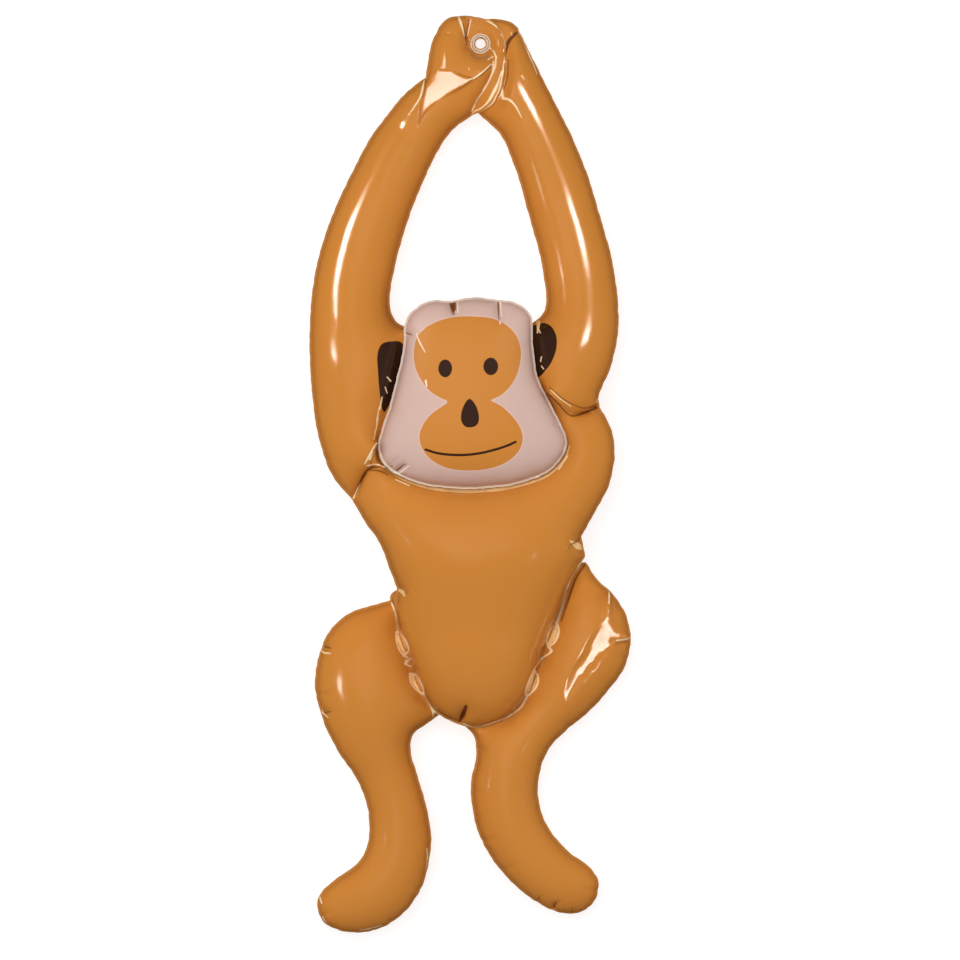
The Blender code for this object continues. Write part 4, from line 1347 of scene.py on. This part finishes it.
def smoothed(film, values, where, times):
    """Averages values with those of their neighbours at some of the points."""
    a, b = np.concatenate((film.triangles[:, :2], film.triangles[:, 1:], film.triangles[:, ::2])).T
    count = np.bincount(a, minlength=len(values)) + np.bincount(b, minlength=len(values))
    values = values.copy()
    for _ in range(times):
        total = np.bincount(a, values[b], len(values)) + np.bincount(b, values[a], len(values))
        values = np.where(where, (values + total / np.maximum(count, 1)) / 2, values)
    return values


def anticlockwise(loop):
    """The loop, turned round where its film would be on its right."""
    ahead = np.roll(loop, -1, axis=0)
    return loop if np.sum(loop[:, 0] * ahead[:, 1] - ahead[:, 0] * loop[:, 1]) > 0 else loop[::-1]


def make_legs(settings):
    """Blows up the legs behind the torso, where their film is drawn flat."""
    loop = anticlockwise(joined(LEG_LINES, settings.weld_spacing))
    torso = joined([*TORSO_LINES, [BACK_HAND[-1], LEFT_ARM[0]]], settings.spacing)
    seam_line = smooth_line(TORSO_SEAM, settings.weld_spacing)
    clear = inside(seam_line, loop) & (distance_to(seam_line, loop) > settings.weld_width + ROW_DEPTHS[1])
    folds = [(smooth_line(fold[0], settings.weld_spacing), fold) for fold in LEG_FOLDS]
    film = Film()
    lines = clear_runs(seam_line, clear) + [line[1:] for line, _ in folds]
    strokes = LEG_GLINT_STROKES + LEG_SHADE_STROKES + SEAM_GLINT_STROKES + SEAM_SHADE_STROKES + SEAM_CLEAR
    lines += stroke_lines(strokes, lines, loop, settings)
    film.add_chart(loop, [], lines, settings, [box_loop(box) for box in LEG_FINE])
    rims = [(0, Line(loop, closed=True), 0.0)]
    film.place_on_welds(rims, settings.weld_width)
    spots = film.spots
    behind = inside(spots, torso) | (distance_to(spots, seam_line, closed=False) < SAME_PLACE)
    held = film.weld | behind
    panel = before_held_back(np.full(len(spots), HIP_PANEL_LIFT))
    held_lift = np.where(film.weld, 0.0, np.where(behind, panel, 0.0))
    free_lift = air_lift(film, held, held_lift)
    hold_folds(film, folds, free_lift, held, held_lift)
    lift = held_back(air_lift(film, held, held_lift))
    front_share, back_share, ripple, shift = weld_finish(film, rims, settings, seed=23)
    hips = make_puckers(Line(seam_line), 0.0, settings, seed=31)
    hip_film = Film()
    hip_film.spots = spots
    hip_film.chart = film.chart
    hip_film.place_on_welds([(0, Line(seam_line), 0.0)], 0.0)
    hip_share = np.where(behind, 1.0, pucker_share(hip_film, hips))
    half_weld = settings.weld_thickness / 2
    panel_top = np.where(behind, HIP_PANEL_LIFT, 0.0)
    top = LEG_SEAM + np.maximum(np.maximum(lift * front_share, half_weld) * hip_share, panel_top)
    top = lean_facet(spots, top, KNEE_FACET, ~film.weld & ~behind)
    top = press_creases(spots, top, LEG_CREASES, ~film.weld & ~behind)
    top = np.maximum(top, LEG_SEAM + half_weld)
    bottom = np.maximum(LEG_SEAM - np.maximum(lift * back_share, half_weld), FLOOR)
    ripple = np.where(behind, 0.0, ripple)
    # Painted highlights and painted shade along the legs' pinches, rims and seam
    marks = {"weld_depth": weld_mark(film), "light": (stroke_gap(spots, LEG_GLINT_STROKES + SEAM_GLINT_STROKES), FAR),
             "dark": (stroke_gap(spots, LEG_SHADE_STROKES + SEAM_SHADE_STROKES), FAR),
             "clear": (stroke_gap(spots, SEAM_CLEAR), FAR)}
    return two_films("inflated_legs", film, shift, top + ripple, bottom + ripple, marks)


def make_head(settings):
    """Blows up the head: a pillow with a full front, a flat back and pinches at its rim."""
    seam = CHEST_REST + HEAD_BACK_DEPTH
    loop = anticlockwise(joined([seen_at(HEAD, seam)], settings.weld_spacing))
    folds = [(smooth_line(seen_at(fold[0], seam), settings.weld_spacing), fold) for fold in HEAD_FOLDS]
    # Painted highlight and painted shade strokes, moved to where the head's seam is seen
    light, dark = ([(seen_at(drawn, seam), *halves) for drawn, *halves in strokes]
                   for strokes in (HEAD_GLINT_STROKES, HEAD_SHADE_STROKES))
    film = Film()
    lines = [line[1:] for line, _ in folds]
    lines += stroke_lines(light + dark, lines, loop, settings)
    film.add_chart(loop, [], lines, settings, [box_loop(box) for box in HEAD_FINE])
    rims = [(0, Line(loop, closed=True), 0.0)]
    film.place_on_welds(rims, settings.weld_width)
    spots = film.spots
    held = film.weld.copy()
    held_lift = np.zeros(len(spots))
    free_lift = air_lift(film, held, held_lift)
    hold_folds(film, folds, free_lift, held, held_lift)
    lift = HEAD_FULLNESS * held_back(air_lift(film, held, held_lift))
    front_share, back_share, ripple, shift = weld_finish(film, rims, settings, seed=47)
    half_weld = settings.weld_thickness / 2
    top = seam + np.maximum(lift * front_share, half_weld)
    creases = [(seen_at(line, seam), width, first, last) for line, width, first, last in HEAD_CREASES]
    top = np.maximum(press_creases(spots, top, creases, ~film.weld), seam + half_weld)
    bottom = seam - np.minimum(np.maximum(lift * back_share, half_weld), HEAD_BACK_DEPTH)
    bottom = np.maximum(bottom + ripple, CHEST_REST)
    marks = head_marks(film)
    marks["light"] = (stroke_gap(spots, light), FAR)
    marks["dark"] = (stroke_gap(spots, dark), FAR)
    return two_films("inflated_head", film, shift, top + ripple, bottom, marks)


def head_marks(film):
    """Distances to the edges of the printed face, which keep these sharp between the film's points."""
    spots = film.spots
    edge_height = (FACE_TOP + CHEST_REST + HEAD_BACK_DEPTH) / 2
    lobes = [seen_at(line, edge_height) for line in (FACE_UPPER, FACE_LOWER, FACE_CHEEK)]
    patch = signed_distance(spots, joined(lobes, FACE_SPACING))
    eyes = np.full(len(spots), FAR)
    for place, radii in EYES:
        middle = grid_to_metres(seen_at(place, FACE_TOP))
        ratio = np.linalg.norm((spots - middle) / (np.array(radii) * SQUARE), axis=1)
        eyes = np.minimum(eyes, (ratio - 1) * np.mean(radii) * SQUARE)
    nose = signed_distance(spots, joined([seen_at(NOSE, FACE_TOP)], NOSE_SPACING))
    mouth = smooth_line(seen_at(MOUTH, FACE_TOP), FACE_SPACING)
    beside = distance_to(spots, mouth, closed=False)
    return {"weld_depth": weld_mark(film), "patch": (patch, FAR), "eye": (np.minimum(eyes, nose), FAR),
            "mouth": (beside * np.sign(mouth_side(spots, mouth)), FAR),
            "mouth_end": (mouth_end(spots, mouth), FAR)}


def mouth_side(spots, mouth):
    """Above zero over the mouth's line, below zero under it."""
    nearest = np.array([np.argmin(np.linalg.norm(mouth - spot, axis=1)) for spot in spots])
    nearest = np.clip(nearest, 1, len(mouth) - 2)
    along = mouth[nearest + 1] - mouth[nearest - 1]
    away = spots - mouth[nearest]
    return along[:, 0] * away[:, 1] - along[:, 1] * away[:, 0]


def mouth_end(spots, mouth):
    """How far past either end of the mouth a point is, below zero between the ends."""
    first, last = mouth[0], mouth[-1]
    start = (spots - first) @ ((first - mouth[3]) / np.linalg.norm(first - mouth[3]))
    end = (spots - last) @ ((last - mouth[-4]) / np.linalg.norm(last - mouth[-4]))
    return np.maximum(start, end)


def make_eyelet():
    """The clear eyelet, turned in one piece: two beads on each face of the hands, and a barrel between.

    Its "ring" attribute is 1 on the beads and fades beside them.
    """
    low, high = EYELET_LOW, EYELET_HIGH
    middle = grid_to_metres(EYELET_CENTRE)
    outer = (high[0] - low[0]) / 2
    bore, barrel = EYELET_BORE, outer - EYELET_FLANGE_WIDTH
    top = high[2] - HAND_SEAM
    grip = top - BEAD_HEIGHT
    profile = [(barrel, 0.0), (barrel, grip), (outer - 0.0004, grip), (outer, grip + 0.0003),
               (outer - 0.0001, top - 0.0003), (outer - 0.0005, top), (outer - 0.0009, top - 0.0003),
               (outer - 0.0011, top - 0.0007),
               (0.0063, top - 0.0007), (0.0061, top - 0.0003), (0.0056, top), (0.0052, top - 0.0003),
               (0.0050, top - 0.0007), (0.0042, top - 0.0007), (bore, top - 0.0009)]
    profile += [(radius, -height) for radius, height in reversed(profile[1:])]
    shape = bmesh.new()
    verts = [shape.verts.new((middle[0] + radius, middle[1], HAND_SEAM + height))
             for radius, height in profile]
    edges = [shape.edges.new((a, b)) for a, b in zip(verts, verts[1:] + verts[:1])]
    bmesh.ops.spin(shape, geom=verts + edges, cent=(*middle, HAND_SEAM), axis=(0, 0, 1),
                   angle=2 * math.pi, steps=EYELET_STEPS, use_merge=True, use_duplicate=False)
    bmesh.ops.remove_doubles(shape, verts=shape.verts[:], dist=SAME_PLACE)
    bmesh.ops.recalc_face_normals(shape, faces=shape.faces[:])
    piece = to_object("clear_eyelet", shape)
    place = np.zeros(3 * len(piece.data.vertices))
    piece.data.vertices.foreach_get("co", place)
    radius = np.linalg.norm(place.reshape(-1, 3)[:, :2] - middle, axis=1)
    rings = sum(np.exp(-((radius - ring) / 0.0005) ** 2) for ring in (bore + 0.0018, outer - 0.0005))
    layer = piece.data.attributes.new("ring", "FLOAT", "POINT")
    layer.data.foreach_set("value", np.clip(rings, 0, 1))
    piece.data.set_sharp_from_angle(angle=math.radians(50))
    return piece


def clear_material():
    """Clear soft plastic, paler and less clear on its two bead rings as a painted highlight."""
    material, tree, shader = new_material("clear_plastic")
    ring = tree.nodes.new("ShaderNodeAttribute")
    ring.attribute_name = "ring"
    # Painted highlight on the beads' rings
    colour = mixed_colour(tree, ring.outputs["Fac"], EYELET_COLOUR, RING_HIGHLIGHT_COLOUR)
    tree.links.new(colour, shader.inputs["Base Color"])
    milk = math_node(tree, "MULTIPLY", ring.outputs["Fac"], RING_HIGHLIGHT_SHARE)
    clear = math_node(tree, "SUBTRACT", EYELET_CLEARNESS, milk, clamp=True)
    tree.links.new(clear, shader.inputs["Transmission Weight"])
    shader.inputs["Roughness"].default_value = EYELET_ROUGHNESS
    shader.inputs["IOR"].default_value = EYELET_IOR
    unevenness = tree_noise(tree, tree.nodes.new("ShaderNodeTexCoord"), 300)
    tree.links.new(bump_normal(tree, unevenness, 0.00008), shader.inputs["Normal"])
    return material


def area_light(name, place, target, size, power, spread=math.pi):
    """A rectangular soft light that faces its target; its rays stay within the spread."""
    data = bpy.data.lights.new(name, "AREA")
    data.shape = "RECTANGLE"
    data.size, data.size_y = size
    data.energy = power
    data.spread = spread
    light = bpy.data.objects.new(name, data)
    bpy.context.collection.objects.link(light)
    light.location = place
    light.rotation_euler = (Vector(target) - Vector(place)).to_track_quat("-Z", "Y").to_euler()
    return light


def strip_light(name, first, last, target, width, radiance, spread):
    """A long light between two places that only shows as a highlight on glossy film around its target."""
    first, last, target = Vector(first), Vector(last), Vector(target)
    middle = (first + last) / 2
    half = math.radians(spread) / 2
    length = (last - first).length
    power = radiance * math.pi * length * width * (math.tan(half) - half) / math.tan(half)
    light = area_light(name, middle, target, (length, width), power, 2 * half)
    ahead = (target - middle).normalized()
    along = (last - first) - (last - first).dot(ahead) * ahead
    along.normalize()
    turned = Matrix((along, (-ahead).cross(along), -ahead)).transposed()
    light.rotation_euler = turned.to_euler()
    light.visible_diffuse = False
    return light


def sky_world():
    """A studio world that is bright overhead and dark at the horizon, so that films have dark rims."""
    world = bpy.data.worlds.new("studio")
    world.use_nodes = True
    tree = world.node_tree
    place = tree.nodes.new("ShaderNodeTexCoord")
    split = tree.nodes.new("ShaderNodeSeparateXYZ")
    tree.links.new(place.outputs["Generated"], split.inputs["Vector"])
    ramp = tree.nodes.new("ShaderNodeMapRange")
    ramp.interpolation_type = "SMOOTHSTEP"
    ramp.inputs["From Min"].default_value = SKY_START
    ramp.inputs["From Max"].default_value = 1.0
    ramp.inputs["To Min"].default_value = SKY_LOW
    ramp.inputs["To Max"].default_value = SKY_TOP
    tree.links.new(split.outputs["Z"], ramp.inputs["Value"])
    tree.links.new(ramp.outputs["Result"], tree.nodes["Background"].inputs["Strength"])
    share = math_node(tree, "MULTIPLY", split.outputs["Z"], 2.0, clamp=True)
    colour = mixed_colour(tree, share, SKY_LOW_COLOUR, (1, 1, 1))
    tree.links.new(colour, tree.nodes["Background"].inputs["Color"])
    return world


def orange_film(name, colours, layers):
    """The glossy orange film with its print layers, and clear where the seam's leaves are."""
    return film_material(name, tuple(colours.orange), tuple(colours.orange_weld_shade), GLOSSY, UNEVENNESS,
                         [*layers, ("clear", 0.0, CLEAR_COLOUR)], ORANGE_RIM, GLINT_COLOUR)


class INFLATABLE_OT_body(bpy.types.Operator):
    """Makes the torso, arms and hands"""

    bl_idname = "inflatable.body"
    bl_label = "Body"

    def execute(self, context):
        colours = context.scene.inflatable_colours
        piece = make_body(context.scene.inflatable_film)
        ears = ("ear", 0.0, tuple(colours.brown))
        piece.data.materials.append(orange_film("orange_body_film", colours, [ears]))
        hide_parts("body")
        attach(piece, "root")
        return {"FINISHED"}


class INFLATABLE_OT_legs(bpy.types.Operator):
    """Makes both legs"""

    bl_idname = "inflatable.legs"
    bl_label = "Legs"

    def execute(self, context):
        colours = context.scene.inflatable_colours
        piece = make_legs(context.scene.inflatable_film)
        piece.data.materials.append(orange_film("orange_leg_film", colours, []))
        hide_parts("legs")
        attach(piece, "root")
        return {"FINISHED"}


class INFLATABLE_OT_head(bpy.types.Operator):
    """Makes the head with its printed face"""

    bl_idname = "inflatable.head"
    bl_label = "Head"

    def execute(self, context):
        colours = context.scene.inflatable_colours
        piece = make_head(context.scene.inflatable_film)
        pink, brown = tuple(colours.pink), tuple(colours.brown)
        pale = tuple(min(1.0, 1.12 * value) for value in pink)
        layers = [("patch", PATCH_BORDER, pale), ("patch", -PATCH_BORDER, tuple(colours.orange)),
                  ("eye", 0.0, brown)]
        # The darker pink is the doubled weld and painted shade a few millimetres inside it
        material = film_material("pink_head_film", pink, tuple(0.94 * value for value in pink),
                                 SATIN, UNEVENNESS, layers, PINK_RIM, PINK_GLINT)
        add_mouth(material, brown)
        piece.data.materials.append(material)
        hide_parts("head")
        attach(piece, "root")
        return {"FINISHED"}


def add_mouth(material, brown):
    """Lays the mouth's stroke over the head's colour."""
    tree = material.node_tree
    shader = tree.nodes["Principled BSDF"]
    base = shader.inputs["Base Color"].links[0].from_socket
    half = MOUTH_WIDTH / 2 * SQUARE
    under = below(tree, "mouth", half)
    above = math_node(tree, "SUBTRACT", 1.0, below(tree, "mouth", -half))
    stroke = math_node(tree, "MULTIPLY", under, above)
    stroke = math_node(tree, "MULTIPLY", stroke, below(tree, "mouth_end", half / 2))
    tree.links.new(mixed_colour(tree, stroke, base, brown), shader.inputs["Base Color"])


class INFLATABLE_OT_eyelet(bpy.types.Operator):
    """Makes the clear eyelet through both hands"""

    bl_idname = "inflatable.eyelet"
    bl_label = "Eyelet"

    def execute(self, context):
        piece = make_eyelet()
        piece.data.materials.append(clear_material())
        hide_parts("hand_eyelet")
        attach(piece, "root")
        return {"FINISHED"}


class INFLATABLE_OT_stage(bpy.types.Operator):
    """Makes the floor, the lights and the camera"""

    bl_idname = "inflatable.stage"
    bl_label = "Stage"

    def execute(self, context):
        studio = context.scene.inflatable_studio
        shape = bmesh.new()
        bmesh.ops.create_grid(shape, x_segments=1, y_segments=1, size=FLOOR_REACH)
        floor = to_object("floor", shape, smooth=False)
        material, _, shader = new_material("pale_floor")
        shader.inputs["Base Color"].default_value = (FLOOR_GREY, FLOOR_GREY, FLOOR_GREY, 1)
        shader.inputs["Roughness"].default_value = 1.0
        shader.inputs["Emission Color"].default_value = (1, 1, 1, 1)
        shader.inputs["Emission Strength"].default_value = FLOOR_GLOW
        floor.data.materials.append(material)
        floor.visible_glossy = False

        context.scene.world = sky_world()
        soft = [area_light("key", KEY_PLACE, (0, 0, 0), KEY_SIZE, studio.key_power)]
        for side in (-1, 1):
            place = (side * FILL_PLACE[0], *FILL_PLACE[1:])
            soft.append(area_light("fill", place, (0, 0, 0), FILL_SIZE, studio.fill_power))
        for light in soft:
            light.visible_glossy = False
        for name, first, last, target, width, radiance, spread in STRIPS:
            strip_light(name, first, last, target, width, radiance * studio.strip_power, spread)

        lens_data = bpy.data.cameras.new("camera")
        lens_data.sensor_width = SENSOR_WIDTH
        lens_data.lens = SENSOR_WIDTH * studio.camera_height / studio.frame_width
        lens_data.clip_end = FARTHEST_SEEN
        camera = bpy.data.objects.new("camera", lens_data)
        bpy.context.collection.objects.link(camera)
        camera.location = (*grid_to_metres(FRAME_CENTRE), ARM_SEAM + studio.camera_height)
        context.scene.camera = camera
        context.scene.view_settings.view_transform = "Standard"
        return {"FINISHED"}


class INFLATABLE_PT_panel(bpy.types.Panel):
    """Lists the monkey's pieces"""

    bl_idname = "INFLATABLE_PT_panel"
    bl_label = "Inflatable Monkey"
    bl_space_type = "VIEW_3D"
    bl_region_type = "UI"
    bl_category = "Inflatable"

    def draw(self, context):
        for settings in (context.scene.inflatable_film, context.scene.inflatable_colours,
                         context.scene.inflatable_studio):
            for name in settings.bl_rna.properties.keys()[2:]:
                self.layout.prop(settings, name)
        for operator in OPERATORS:
            self.layout.operator(operator.bl_idname)


OPERATORS = (INFLATABLE_OT_body, INFLATABLE_OT_legs, INFLATABLE_OT_head, INFLATABLE_OT_eyelet,
             INFLATABLE_OT_stage)
CLASSES = (InflatableFilm, InflatableColours, InflatableStudio, *OPERATORS, INFLATABLE_PT_panel)


def register():
    """Registers the classes and their settings."""
    for kind in CLASSES:
        bpy.utils.register_class(kind)
    bpy.types.Scene.inflatable_film = bpy.props.PointerProperty(type=InflatableFilm)
    bpy.types.Scene.inflatable_colours = bpy.props.PointerProperty(type=InflatableColours)
    bpy.types.Scene.inflatable_studio = bpy.props.PointerProperty(type=InflatableStudio)


def unregister():
    """Takes the classes and settings away."""
    del bpy.types.Scene.inflatable_film
    del bpy.types.Scene.inflatable_colours
    del bpy.types.Scene.inflatable_studio
    for kind in reversed(CLASSES):
        bpy.utils.unregister_class(kind)


def main():
    """Makes every piece and the stage."""
    register()
    bpy.ops.inflatable.body()
    bpy.ops.inflatable.legs()
    bpy.ops.inflatable.head()
    bpy.ops.inflatable.eyelet()
    bpy.ops.inflatable.stage()
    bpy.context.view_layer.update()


if __name__ == "__main__":
    main()
